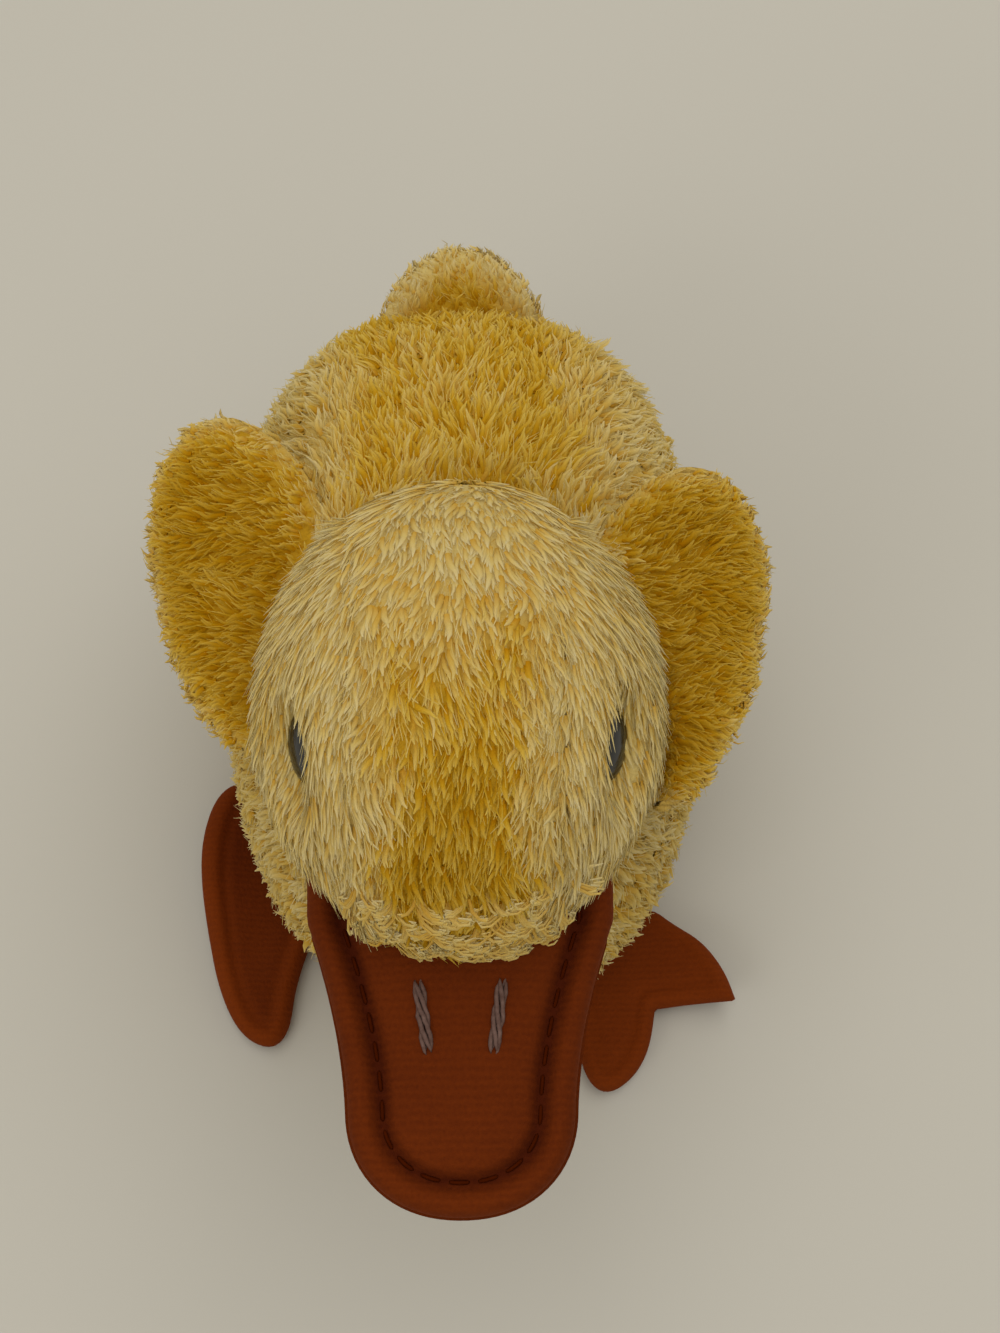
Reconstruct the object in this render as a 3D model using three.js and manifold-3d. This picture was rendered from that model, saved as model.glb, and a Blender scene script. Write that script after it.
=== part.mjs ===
// Duckling finger puppet: plush panels over a stuffed body and head, a lined finger hollow,
// a velour bill and feet, and sewn-on wings and tail. Millimetres, +Z up.
// The duckling faces -Y and its own left is +X. The origin is on the flat base, under the middle of the body.
import * as THREE from 'three';
import { mergeVertices } from 'three/addons/utils/BufferGeometryUtils.js';
import Module from 'manifold-3d';

const wasm = await Module();
wasm.setup();

// Cloth and clearances
const seamGap = 0.3; // between neighbouring pieces
const plushThickness = 4; // backing cloth and pile together
const backingThickness = 1; // the cloth alone, where an eye presses the pile flat
const liningThickness = 0.8;

// Body
const bodyWidth = 58;
const bodyLength = 81;
const bodyHeight = 54;
const bodyFullestHeight = 18;
const bodyRoundness = 2.6; // exponent of its outlines, where 2 is an ellipse
const baseWidth = 52; // flat part that it sits on
const bellySeamHeight = 5;
const backPanelWidth = 30;
const backPanelHeight = 34; // from its lower seam to the top of the body

// Finger hollow, which runs straight up from the base into the head
const fingerDiameter = 17;
const hollowFromFront = 17.7; // its axis, behind the front of the flat base
const fingertipReach = 24; // how far it goes above the neck's pivot
const hemWidth = 2;
const hemHeight = 3;

// Neck, a stuffed collar that the head tips and turns on
const neckRadius = 15;
const neckBelowBack = 12; // its pivot, below the top of the body
const collarHeight = 19;
const headSwingRoom = 6.5; // between the head and the body round the neck

// Head
const headWidth = 41;
const headLength = 48;
const headHeight = 44;
const headForward = 10; // its middle, ahead of the neck's pivot
const headRise = 20; // its middle, above the neck's pivot
const gussetWidth = 20.5;

// Eyes
const eyeDiameter = 8;
const eyeDome = 3.2;
const eyeForward = 8.2; // ahead of the head's middle
const eyeRise = 9.8; // above the head's middle
const eyeDimple = 1; // room round the dome, in the pile
const shankDiameter = 2.4;
const shankEnd = 1; // past the washer
const washerDiameter = 7.2;
const washerThickness = 1.2;

// Bill
const billBaseWidth = 30;
const billTipRadius = 11.8;
const billLength = 27; // from its hinge line to the tip
const billRoot = 12; // behind the hinge line, before it is cut to the head
const billThickness = 5;
const billEdgeRound = 0.9;
const billBelowMiddle = 7; // its seam, below the head's middle
const billHingeDepth = 2.5; // behind the front of the head at the seam
const billDip = 17; // degrees
const insertThickness = 1.2;
const insertInset = 3;
const stitchInset = 3.6; // the top-stitching, inside the edge
const threadDiameter = 0.7;
const nostrilLength = 6.5;
const nostrilWidth = 1.2;
const nostrilHeight = 0.9;
const nostrilSpacing = 7;
const nostrilForward = 8; // their middle, ahead of the hinge line
const nostrilTurn = 4; // degrees, drawing together towards the tip

// Wings. The right one is sewn on a little further back.
const wingLength = 40;
const wingWidth = 22.5;
const wingThickness = 9;
const wingTaper = 0.2; // share by which its front is narrower and its rear wider
const wingCup = 3; // how far its ends rise over its middle
const wingSeamDepth = 8; // inside the body's outline, before it is cut to the body
const wingSeamHeight = 47;
const wingTilt = 11; // degrees, rear end up
const wingDroop = 12; // degrees below level
const leftWingBack = -13.5;
const rightWingBack = -6.5;

// Tail
const tailLength = 17.5;
const tailWidth = 25;
const tailThickness = 8;
const tailTaper = 0.3; // share by which its tip is narrower than its seam
const tailCup = 2;
const tailSeamDepth = 9;
const tailSeamHeight = 40;
const tailRise = 48; // degrees above level

// Feet. The left lies flat, and the right has curled up at the sides with its outer toe folded back.
const footLength = 19;
const footLayer = 1.5;
const footRootWidth = 13;
const webReach = 10; // notch between the toes, ahead of the seam
const innerToeReach = 9;
const leftFoot = {
  out: 17, // seam, from the body's middle line
  turn: 3, // degrees outward
  curl: 60, // radius of the curl across the foot
  heel: 1.5, // how far it reaches behind the seam
  toeSpread: 15, // outer toe, from the foot's middle line
  toeReach: 8.5, // outer toe, ahead of the seam
  edgeSpread: 10.5, // middle of the edge between the outer toe and the notch
  webSpread: 5.5, // notch, from the foot's middle line
  innerSpread: 7.5, // inner toe, from the foot's middle line
};
const rightFoot = {
  out: 22.5,
  turn: 9,
  curl: 15,
  heel: 6,
  toeSpread: 8.5,
  toeReach: -8,
  edgeSpread: 11.5,
  webSpread: 4.5,
  innerSpread: 3,
};

// How far the head nods and turns each way and the sewn pieces bend, in degrees, so that they are cut clear
const headNod = 15;
const headTurn = 25;
const billBend = [-20, 0, 20];
const wingBend = [-15, 0, 20, 40];
const tailBend = [-20, 0, 20];
const footBend = [-15, 0, 20, 45];

// Fineness of the round forms
const bodySegments = 24;
const bodyRings = 5;
const headSegments = 24;
const headRings = 11;
const lensSegments = 16;
const lensRings = 8;
const tubeSegments = 16;
const arcSegments = 5;
const threadSides = 6;
const threadSteps = 20;
const weldDistance = 1e-4; // points nearer than this become one
const farAway = 400;

const plushColour = 0xe3bf62;
const paleColour = 0xe8d48e;
const velourColour = 0x8f3f14;
const liningColour = 0xd9c07a;
const stuffingColour = 0xf3f0e8;
const threadColour = 0x6d594d;
const washerColour = 0xe9e6dd;
const eyeColour = 0x0c0b0a;

// Values that follow from the ones above
const degrees = Math.PI / 180;
const baseShare = baseWidth / bodyWidth;
const sleeveRadius = fingerDiameter / 2 + liningThickness;
const hollowY = -(bodyLength / 2) * baseShare + hollowFromFront;
const neckPivot = new THREE.Vector3(0, hollowY, bodyHeight - neckBelowBack);
const headMiddle = neckPivot.clone().add(new THREE.Vector3(0, -headForward, headRise));

// Closed geometry to solid and back

function solidOf(geometry) {
  const bare = geometry.clone();
  bare.deleteAttribute('normal');
  bare.deleteAttribute('uv');
  const merged = mergeVertices(bare, weldDistance);
  const index = merged.index.array;
  const kept = [];
  for (let i = 0; i < index.length; i += 3) {
    const [a, b, c] = [index[i], index[i + 1], index[i + 2]];
    if (a !== b && b !== c && c !== a) kept.push(a, b, c);
  }
  const vertProperties = new Float32Array(merged.attributes.position.array);
  const make = (triangles) =>
    new wasm.Manifold(new wasm.Mesh({ numProp: 3, vertProperties, triVerts: new Uint32Array(triangles) }));
  const solid = make(kept);
  return solid.volume() > 0 ? solid : make(kept.reverse());
}

function geometryOf(solid) {
  const mesh = solid.getMesh();
  const geometry = new THREE.BufferGeometry();
  geometry.setAttribute('position', new THREE.BufferAttribute(mesh.vertProperties, 3));
  geometry.setIndex(new THREE.BufferAttribute(mesh.triVerts, 1));
  geometry.computeVertexNormals();
  return geometry;
}

function cloth(colour) {
  return new THREE.MeshStandardMaterial({ color: colour, roughness: 1, metalness: 0 });
}

function gloss(colour) {
  return new THREE.MeshStandardMaterial({ color: colour, roughness: 0.15, metalness: 0 });
}

function addPiece(group, name, solid, material) {
  const mesh = new THREE.Mesh(geometryOf(solid), material);
  mesh.name = name;
  group.add(mesh);
}

// Moves each vertex of a geometry by a function of its place
function reshaped(geometry, move) {
  const position = geometry.attributes.position;
  const point = new THREE.Vector3();
  for (let i = 0; i < position.count; i += 1) {
    move(point.fromBufferAttribute(position, i));
    position.setXYZ(i, point.x, point.y, point.z);
  }
  return geometry;
}

// Simple solids

function box(low, high) {
  const size = high.map((h, i) => h - low[i]);
  const geometry = new THREE.BoxGeometry(...size);
  return solidOf(geometry.translate(...low.map((l, i) => l + size[i] / 2)));
}

function turned(profile) {
  const points = profile.map(([r, z]) => new THREE.Vector2(r, z));
  return solidOf(new THREE.LatheGeometry(points, tubeSegments).rotateX(Math.PI / 2));
}

function tube(inner, outer, low, high) {
  return turned([[inner, low], [outer, low], [outer, high], [inner, high], [inner, low]]);
}

function rod(radius, low, high) {
  return turned([[0, low], [radius, low], [radius, high], [0, high]]);
}

function ball(radius) {
  const geometry = new THREE.SphereGeometry(radius, headSegments, headRings);
  return solidOf(geometry.rotateX(Math.PI / 2));
}

function extruded(shape, low, high) {
  const options = { depth: high - low, bevelEnabled: false, curveSegments: arcSegments };
  return solidOf(new THREE.ExtrudeGeometry(shape, options).translate(0, 0, low));
}

function at(solid, place) {
  return solid.translate([place.x, place.y, place.z]);
}

// What is left of a piece when an obstacle is cut from it at each bend about its own X axis
function clearedOf(piece, obstacle, group, bends) {
  group.updateMatrix();
  const local = obstacle.transform(group.matrix.clone().invert().elements);
  return bends.reduce((left, bend) => left.subtract(local.rotate([-bend, 0, 0])), piece);
}

// Body form, grown or shrunk all round

function superArc(share, power) {
  return (1 - Math.abs(share) ** power) ** (1 / power);
}

// Share of the full outline at a height, rounding in to the base below and to the dome above
function bodyShare(z, floor, top) {
  const fullest = floor + (bodyFullestHeight / bodyHeight) * (top - floor);
  if (z >= fullest) return superArc((z - fullest) / (top - fullest), bodyRoundness);
  return baseShare + (1 - baseShare) * superArc((fullest - z) / (fullest - floor), bodyRoundness);
}

function bodyForm(grow) {
  const floor = -grow;
  const top = bodyHeight + grow;
  const fullest = floor + (bodyFullestHeight / bodyHeight) * (top - floor);
  const heights = [];
  for (let i = 0; i <= bodyRings; i += 1) {
    heights.push(fullest - (fullest - floor) * Math.cos((i / bodyRings) * (Math.PI / 2)));
  }
  for (let i = 1; i <= bodyRings; i += 1) {
    heights.push(fullest + (top - fullest) * Math.sin((i / bodyRings) * (Math.PI / 2)));
  }
  const profile = heights.map((z) => new THREE.Vector2(bodyShare(Math.min(z, top), floor, top), z));
  profile.unshift(new THREE.Vector2(0, floor));
  profile[profile.length - 1].set(0, top);
  const geometry = new THREE.LatheGeometry(profile, bodySegments).rotateX(Math.PI / 2);
  reshaped(geometry, (p) => {
    const share = Math.hypot(p.x, p.y);
    if (share < weldDistance) return;
    const across = Math.abs(p.x / share) / (bodyWidth / 2 + grow);
    const along = Math.abs(p.y / share) / (bodyLength / 2 + grow);
    const reach = (across ** bodyRoundness + along ** bodyRoundness) ** (-1 / bodyRoundness);
    p.x *= reach;
    p.y *= reach;
  });
  return solidOf(geometry);
}

function bodySide(y, z) {
  const share = bodyShare(z, 0, bodyHeight);
  return (bodyWidth / 2) * share * superArc(y / ((bodyLength / 2) * share), bodyRoundness);
}

function bodyEnd(x, z) {
  const share = bodyShare(z, 0, bodyHeight);
  return (bodyLength / 2) * share * superArc(x / ((bodyWidth / 2) * share), bodyRoundness);
}

function headForm(grow) {
  const geometry = new THREE.SphereGeometry(1, headSegments, headRings).rotateX(Math.PI / 2);
  geometry.scale(headWidth / 2 + grow, headLength / 2 + grow, headHeight / 2 + grow);
  return solidOf(geometry.translate(headMiddle.x, headMiddle.y, headMiddle.z));
}

// Room that the head takes as it nods and turns on the neck
function headSweep() {
  const home = headForm(seamGap).translate([-neckPivot.x, -neckPivot.y, -neckPivot.z]);
  let sweep = home;
  for (const nod of [-headNod, 0, headNod]) {
    for (const turn of [-headTurn, 0, headTurn]) {
      sweep = sweep.add(home.rotate([0, 0, turn]).rotate([nod, 0, 0]));
    }
  }
  return at(sweep, neckPivot);
}

function neckBall(grow) {
  return at(ball(neckRadius + grow), neckPivot);
}

// The finger hollow out to a radius, with its rounded end at the fingertip
function hollowForm(radius) {
  const middle = neckPivot.z + fingertipReach - fingerDiameter / 2;
  const profile = [[0, -farAway], [radius, -farAway]];
  for (let i = 0; i <= arcSegments; i += 1) {
    const turn = (i / arcSegments) * (Math.PI / 2);
    profile.push([radius * Math.cos(turn), middle + radius * Math.sin(turn)]);
  }
  profile[profile.length - 1][0] = 0;
  return turned(profile).translate([0, hollowY, 0]);
}

// Body: four plush panels, the stuffing, the sleeve and its bound mouth

function makeBody() {
  const group = new THREE.Group();
  const hollow = hollowForm(sleeveRadius + seamGap);
  const hemRadius = sleeveRadius + seamGap + hemWidth;
  const hemSeat = rod(hemRadius + seamGap, -farAway, hemHeight + seamGap).translate([0, hollowY, 0]);
  const open = (solid) => solid.subtract(neckBall(seamGap)).subtract(hollow).subtract(hemSeat);
  const whole = (grow) => bodyForm(grow).subtract(headForm(headSwingRoom - grow));
  const plush = open(whole(0).subtract(whole(-plushThickness)));

  const half = seamGap / 2;
  const backSide = backPanelWidth / 2;
  const backLow = bodyHeight - backPanelHeight;
  const backPlace = (edge) =>
    box([-backSide - edge, hollowY - edge, backLow - edge], [backSide + edge, farAway, farAway]);
  const bellyTop = bellySeamHeight - half;
  const belly = plush.intersect(box([-farAway, -farAway, -farAway], [farAway, farAway, bellyTop]));
  const upper = plush.intersect(box([-farAway, -farAway, bellySeamHeight + half], [farAway, farAway, farAway]));
  const sides = upper.subtract(backPlace(half));
  addPiece(group, 'belly_panel', belly, cloth(plushColour));
  addPiece(group, 'back_panel', upper.intersect(backPlace(-half)), cloth(plushColour));
  const leftHalf = box([half, -farAway, -farAway], [farAway, farAway, farAway]);
  const rightHalf = box([-farAway, -farAway, -farAway], [-half, farAway, farAway]);
  addPiece(group, 'left_side_panel', sides.intersect(leftHalf), cloth(paleColour));
  addPiece(group, 'right_side_panel', sides.intersect(rightHalf), cloth(paleColour));

  addPiece(group, 'body_stuffing', open(whole(-plushThickness - seamGap)), cloth(stuffingColour));

  const sleeve = tube(fingerDiameter / 2, sleeveRadius, seamGap, neckPivot.z).translate([0, hollowY, 0]);
  addPiece(group, 'finger_sleeve', sleeve.subtract(neckBall(seamGap)), cloth(liningColour));
  const hem = tube(sleeveRadius + seamGap, hemRadius, 0, hemHeight).translate([0, hollowY, 0]);
  addPiece(group, 'opening_hem', hem, cloth(liningColour));
  return group;
}

// Neck: a stuffed plush collar with its stretch of the sleeve

function makeNeck() {
  const group = new THREE.Group();
  group.position.copy(neckPivot);
  const low = -collarHeight / 2;
  const high = collarHeight / 2;
  const band = tube(sleeveRadius + seamGap, neckRadius * 2, low, high);
  addPiece(group, 'neck_collar', ball(neckRadius).intersect(band), cloth(paleColour));
  addPiece(group, 'neck_sleeve', tube(fingerDiameter / 2, sleeveRadius, low, high), cloth(liningColour));
  return group;
}

// Eyes: a dome on a shank, held by a washer behind the side panel

function eyeGroup(side) {
  const share = new THREE.Vector2((eyeForward * 2) / headLength, (eyeRise * 2) / headHeight);
  const out = (headWidth / 2) * Math.sqrt(1 - share.lengthSq());
  const spot = new THREE.Vector3(side * out, -eyeForward, eyeRise);
  const facing = new THREE.Vector3(
    spot.x / (headWidth / 2) ** 2,
    spot.y / (headLength / 2) ** 2,
    spot.z / (headHeight / 2) ** 2,
  ).normalize();
  const group = new THREE.Group();
  group.position.copy(headMiddle).add(spot);
  group.quaternion.setFromUnitVectors(new THREE.Vector3(0, 0, 1), facing);
  group.updateMatrix();
  return group;
}

// Depths below the pile's surface: the dome's seat, the washer's two faces and the end of the shank
const eyeSeat = backingThickness - plushThickness + seamGap;
const washerTop = -plushThickness - seamGap;
const washerBottom = washerTop - washerThickness;
const shankTip = washerBottom - shankEnd;

function eyeSolid() {
  const radius = eyeDiameter / 2;
  const profile = [[0, shankTip], [shankDiameter / 2, shankTip], [shankDiameter / 2, eyeSeat]];
  for (let i = 0; i <= arcSegments; i += 1) {
    const turn = (i / arcSegments) * (Math.PI / 2);
    profile.push([radius * Math.cos(turn), eyeSeat + eyeDome * Math.sin(turn)]);
  }
  profile[profile.length - 1][0] = 0;
  return turned(profile);
}

function washerSolid() {
  return tube(shankDiameter / 2 + seamGap, washerDiameter / 2, washerBottom, washerTop);
}

// Room that an eye and its washer take in the head
function eyeRoom(group) {
  const dimple = rod(eyeDiameter / 2 + eyeDimple, eyeSeat - seamGap, plushThickness * 2);
  const shank = rod(shankDiameter / 2 + seamGap, shankTip - seamGap, plushThickness);
  const washer = rod(washerDiameter / 2 + seamGap, washerBottom - seamGap, washerTop + seamGap);
  return dimple.add(shank).add(washer).transform(group.matrix.elements);
}

// Head: a gusset between two side panels, the stuffing, the end of the sleeve, and the eyes

function makeHead() {
  const group = new THREE.Group();
  const hollow = hollowForm(sleeveRadius + seamGap);
  const eyes = { left: eyeGroup(1), right: eyeGroup(-1) };
  const rooms = eyeRoom(eyes.left).add(eyeRoom(eyes.right));
  const open = (solid) => solid.subtract(neckBall(seamGap)).subtract(hollow).subtract(rooms);
  const plush = open(headForm(0).subtract(headForm(-plushThickness)));

  const half = seamGap / 2;
  const gussetSide = gussetWidth / 2;
  const gussetLow = headMiddle.z - billBelowMiddle;
  const gussetPlace = (edge) =>
    box([-gussetSide - edge, -farAway, gussetLow - edge], [gussetSide + edge, farAway, farAway]);
  const sides = plush.subtract(gussetPlace(half));
  addPiece(group, 'head_gusset', plush.intersect(gussetPlace(-half)), cloth(plushColour));
  const leftHalf = box([half, -farAway, -farAway], [farAway, farAway, farAway]);
  const rightHalf = box([-farAway, -farAway, -farAway], [-half, farAway, farAway]);
  addPiece(group, 'head_left_panel', sides.intersect(leftHalf), cloth(paleColour));
  addPiece(group, 'head_right_panel', sides.intersect(rightHalf), cloth(paleColour));

  addPiece(group, 'head_stuffing', open(headForm(-plushThickness - seamGap)), cloth(stuffingColour));

  const pocket = hollowForm(sleeveRadius).subtract(hollowForm(fingerDiameter / 2));
  const above = box([-farAway, -farAway, neckPivot.z], [farAway, farAway, farAway]);
  addPiece(group, 'fingertip_pocket', pocket.intersect(above).subtract(neckBall(seamGap)), cloth(liningColour));

  for (const side of ['left', 'right']) {
    const eye = eyes[side];
    addPiece(eye, `eye_${side}`, eyeSolid(), gloss(eyeColour));
    addPiece(eye, `eye_washer_${side}`, washerSolid(), gloss(washerColour));
    group.add(eye);
  }
  return group;
}

// Bill: two velour layers round a stiff insert, top-stitched inside the edge, with two nostril stitches.
// Its own frame has +Y out to the tip, +Z up and its hinge line along X.

function billOutline(inset) {
  const tip = billTipRadius - inset;
  const middle = billLength - billTipRadius;
  const corner = billBaseWidth / 2 - inset;
  const shape = new THREE.Shape();
  shape.moveTo(-corner, -billRoot);
  shape.lineTo(-corner, 0);
  shape.quadraticCurveTo(-tip, middle / 2, -tip, middle);
  shape.absarc(0, middle, tip, Math.PI, 0, true);
  shape.quadraticCurveTo(tip, middle / 2, corner, 0);
  shape.lineTo(corner, -billRoot);
  shape.closePath();
  return shape;
}

// The top-stitching runs along the outline from one root corner round the tip to the other
function stitchLine() {
  const points = billOutline(stitchInset).getPoints(arcSegments).slice(0, -1);
  const raised = points.map((p) => new THREE.Vector3(p.x, p.y, billThickness / 2));
  return new THREE.CatmullRomCurve3(raised, false, 'centripetal');
}

function threadAlong(curve, diameter) {
  const section = new THREE.Shape();
  section.absarc(0, 0, diameter / 2, 0, Math.PI * 2, false);
  const options = {
    steps: threadSteps,
    extrudePath: curve,
    bevelEnabled: false,
    curveSegments: threadSides / 2,
  };
  return solidOf(new THREE.ExtrudeGeometry(section, options));
}

function nostril(side, grow) {
  const long = nostrilLength / 2 - nostrilWidth / 2;
  const radius = nostrilWidth / 2 + grow;
  const shape = new THREE.Shape();
  shape.absarc(0, long, radius, 0, Math.PI, false);
  shape.absarc(0, -long, radius, Math.PI, Math.PI * 2, false);
  shape.closePath();
  const low = billThickness / 2 - nostrilHeight / 2 - grow;
  const bar = extruded(shape, low, low + nostrilHeight + grow * 2);
  return bar.rotate([0, 0, side * nostrilTurn]).translate([(side * nostrilSpacing) / 2, nostrilForward, 0]);
}

function makeBill() {
  const group = new THREE.Group();
  const drop = billBelowMiddle / (headHeight / 2);
  const front = (headLength / 2) * Math.sqrt(1 - drop * drop);
  group.position.set(0, headMiddle.y - front + billHingeDepth, headMiddle.z - billBelowMiddle);
  group.rotation.set(-billDip * degrees, 0, Math.PI, 'ZYX');

  const rounded = new THREE.ExtrudeGeometry(billOutline(0), {
    depth: billThickness - billEdgeRound * 2,
    bevelThickness: billEdgeRound,
    bevelSize: billEdgeRound,
    bevelOffset: -billEdgeRound,
    bevelSegments: 2,
    curveSegments: arcSegments,
  });
  const slab = solidOf(rounded.translate(0, 0, billEdgeRound - billThickness / 2));
  const pocketHalf = insertThickness / 2 + seamGap;
  const pocket = extruded(billOutline(insertInset - seamGap), -pocketHalf, pocketHalf);
  const half = seamGap / 2;
  const layers = slab.subtract(pocket);
  const groove = threadAlong(stitchLine(), threadDiameter + seamGap * 2);
  const head = headForm(seamGap);
  const fitted = (solid) => clearedOf(solid, head, group, billBend);

  const upper = layers.intersect(box([-farAway, -farAway, half], [farAway, farAway, farAway]));
  const under = layers.intersect(box([-farAway, -farAway, -farAway], [farAway, farAway, -half]));
  const top = upper.subtract(groove).subtract(nostril(1, seamGap)).subtract(nostril(-1, seamGap));
  addPiece(group, 'bill_top', fitted(top), cloth(velourColour));
  addPiece(group, 'bill_underside', fitted(under), cloth(velourColour));
  const insert = extruded(billOutline(insertInset), -insertThickness / 2, insertThickness / 2);
  addPiece(group, 'bill_insert', fitted(insert), cloth(stuffingColour));
  const thread = threadAlong(stitchLine(), threadDiameter);
  addPiece(group, 'bill_topstitch', fitted(thread), cloth(velourColour));
  addPiece(group, 'nostril_stitch_left', nostril(-1, 0), cloth(threadColour));
  addPiece(group, 'nostril_stitch_right', nostril(1, 0), cloth(threadColour));
  return group;
}

// Wings and tail: two plush layers, each a half lens, cupped together and sewn at the rim.
// Their own frame has +Y outward from the seam and the seam along X.

function halfLens(side, size) {
  const geometry = new THREE.SphereGeometry(1, lensSegments, lensRings).rotateX(Math.PI / 2);
  reshaped(geometry, (p) => {
    const rise = Math.max(p.z * side, 0) * (size.thickness / 2) + seamGap / 2;
    const bow = size.cup * p.x * p.x;
    const outward = (p.y + 1) / 2;
    const x = ((p.x * size.length) / 2) * (1 - size.tipTaper * outward);
    const y = outward * size.width * (1 - size.endTaper * p.x) - size.seamDepth;
    p.set(x, y, side * rise + bow);
  });
  return solidOf(geometry);
}

function addFlap(group, name, size, bends) {
  const obstacle = bodyForm(seamGap).add(headSweep());
  for (const [side, layer] of [[1, 'top'], [-1, 'under']]) {
    const fitted = clearedOf(halfLens(side, size), obstacle, group, bends);
    addPiece(group, `${name}_${layer}`, fitted, cloth(plushColour));
  }
}

function makeWing(name, side, back) {
  const group = new THREE.Group();
  group.position.set(side * bodySide(back, wingSeamHeight), back, wingSeamHeight);
  const tilt = wingTilt * degrees;
  const droop = wingDroop * degrees;
  const along = new THREE.Vector3(0, Math.cos(tilt), Math.sin(tilt)).multiplyScalar(-side);
  const out = new THREE.Vector3(side * Math.cos(droop), 0, -Math.sin(droop));
  out.addScaledVector(along, -out.dot(along)).normalize();
  const up = along.clone().cross(out);
  group.quaternion.setFromRotationMatrix(new THREE.Matrix4().makeBasis(along, out, up));
  const size = {
    length: wingLength,
    width: wingWidth,
    thickness: wingThickness,
    endTaper: side * wingTaper,
    tipTaper: 0,
    cup: wingCup,
    seamDepth: wingSeamDepth,
  };
  addFlap(group, name, size, wingBend);
  return group;
}

function makeTail() {
  const group = new THREE.Group();
  group.position.set(0, bodyEnd(0, tailSeamHeight), tailSeamHeight);
  group.rotation.x = tailRise * degrees;
  const size = {
    length: tailWidth,
    width: tailLength,
    thickness: tailThickness,
    endTaper: 0,
    tipTaper: tailTaper,
    cup: tailCup,
    seamDepth: tailSeamDepth,
  };
  addFlap(group, 'tail', size, tailBend);
  return group;
}

// Feet: two velour layers cut to a webbed outline and curled across.
// Their own frame has +Y out to the toes and the seam along X.

function footOutline(foot, outer) {
  const root = footRootWidth / 2;
  const shape = new THREE.Shape();
  shape.moveTo(outer * root, -footRootWidth);
  shape.lineTo(outer * root, Math.min(foot.toeReach, 0));
  shape.quadraticCurveTo(outer * foot.toeSpread, foot.toeReach / 2, outer * foot.toeSpread, foot.toeReach);
  const edgeReach = (foot.toeReach + webReach) / 2;
  shape.quadraticCurveTo(outer * foot.edgeSpread, edgeReach, outer * foot.webSpread, webReach);
  shape.quadraticCurveTo(outer * foot.webSpread, footLength, 0, footLength);
  shape.quadraticCurveTo(-outer * foot.webSpread, footLength, -outer * foot.webSpread, webReach);
  shape.lineTo(-outer * foot.innerSpread, innerToeReach);
  shape.quadraticCurveTo(-outer * foot.innerSpread, innerToeReach / 2, -outer * root, 0);
  shape.lineTo(-outer * root, -footRootWidth);
  shape.closePath();
  return shape;
}

// A strip of a pipe wall that lies along Y and rests on the floor
function curledLayer(foot, low) {
  const outside = foot.curl - low;
  const inside = outside - footLayer;
  const sweep = Math.asin(Math.min((foot.toeSpread + footLayer) / inside, 1));
  const shape = new THREE.Shape();
  shape.absarc(0, foot.curl, outside, -Math.PI / 2 - sweep, -Math.PI / 2 + sweep, false);
  shape.absarc(0, foot.curl, inside, -Math.PI / 2 + sweep, -Math.PI / 2 - sweep, true);
  shape.closePath();
  const length = footLength + footRootWidth * 2;
  const options = { depth: length, bevelEnabled: false, curveSegments: arcSegments };
  const geometry = new THREE.ExtrudeGeometry(shape, options).rotateX(Math.PI / 2);
  return solidOf(geometry.translate(0, length - footRootWidth, 0));
}

function makeFoot(name, side, foot) {
  const group = new THREE.Group();
  const middle = footLayer + seamGap / 2;
  group.position.set(side * foot.out, -bodyEnd(foot.out, middle), middle);
  group.rotation.z = Math.PI + side * foot.turn * degrees;
  const body = bodyForm(seamGap);
  const outline = extruded(footOutline(foot, -side), -farAway, farAway);
  const ahead = box([-farAway, -foot.heel, -farAway], [farAway, farAway, farAway]);
  const layers = { sole: 0, top: footLayer + seamGap };
  for (const [layer, low] of Object.entries(layers)) {
    const strip = curledLayer(foot, low).translate([0, 0, -middle]);
    const piece = strip.intersect(outline).intersect(ahead);
    addPiece(group, `${name}_${layer}`, clearedOf(piece, body, group, footBend), cloth(velourColour));
  }
  return group;
}

const duckling = new THREE.Group();
duckling.add(makeBody());
duckling.add(makeNeck());
duckling.add(makeHead());
duckling.add(makeBill());
duckling.add(makeWing('left_wing', 1, leftWingBack));
duckling.add(makeWing('right_wing', -1, rightWingBack));
duckling.add(makeTail());
duckling.add(makeFoot('left_foot', 1, leftFoot));
duckling.add(makeFoot('right_foot', -1, rightFoot));

export default duckling;
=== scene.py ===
import math

import bpy
import numpy as np
from mathutils import Matrix, Vector, noise


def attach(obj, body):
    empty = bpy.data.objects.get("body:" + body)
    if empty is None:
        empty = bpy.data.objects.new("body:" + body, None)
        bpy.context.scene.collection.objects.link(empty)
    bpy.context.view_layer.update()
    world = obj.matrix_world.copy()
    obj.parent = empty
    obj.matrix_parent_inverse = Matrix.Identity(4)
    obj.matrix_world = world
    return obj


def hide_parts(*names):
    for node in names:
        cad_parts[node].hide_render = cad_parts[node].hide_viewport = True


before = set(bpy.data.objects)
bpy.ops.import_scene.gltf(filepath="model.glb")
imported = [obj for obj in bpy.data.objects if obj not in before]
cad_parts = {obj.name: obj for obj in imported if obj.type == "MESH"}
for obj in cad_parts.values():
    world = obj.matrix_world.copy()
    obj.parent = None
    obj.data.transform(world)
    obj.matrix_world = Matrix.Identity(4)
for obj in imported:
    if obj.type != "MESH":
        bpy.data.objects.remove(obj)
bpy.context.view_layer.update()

mm = 0.001
fullTurn = 6.283  # radians
noise.seed_set(5)  # the same swirls in every run


# Shader helper: sockets that add, multiply and so on, and one way to make any node

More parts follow.
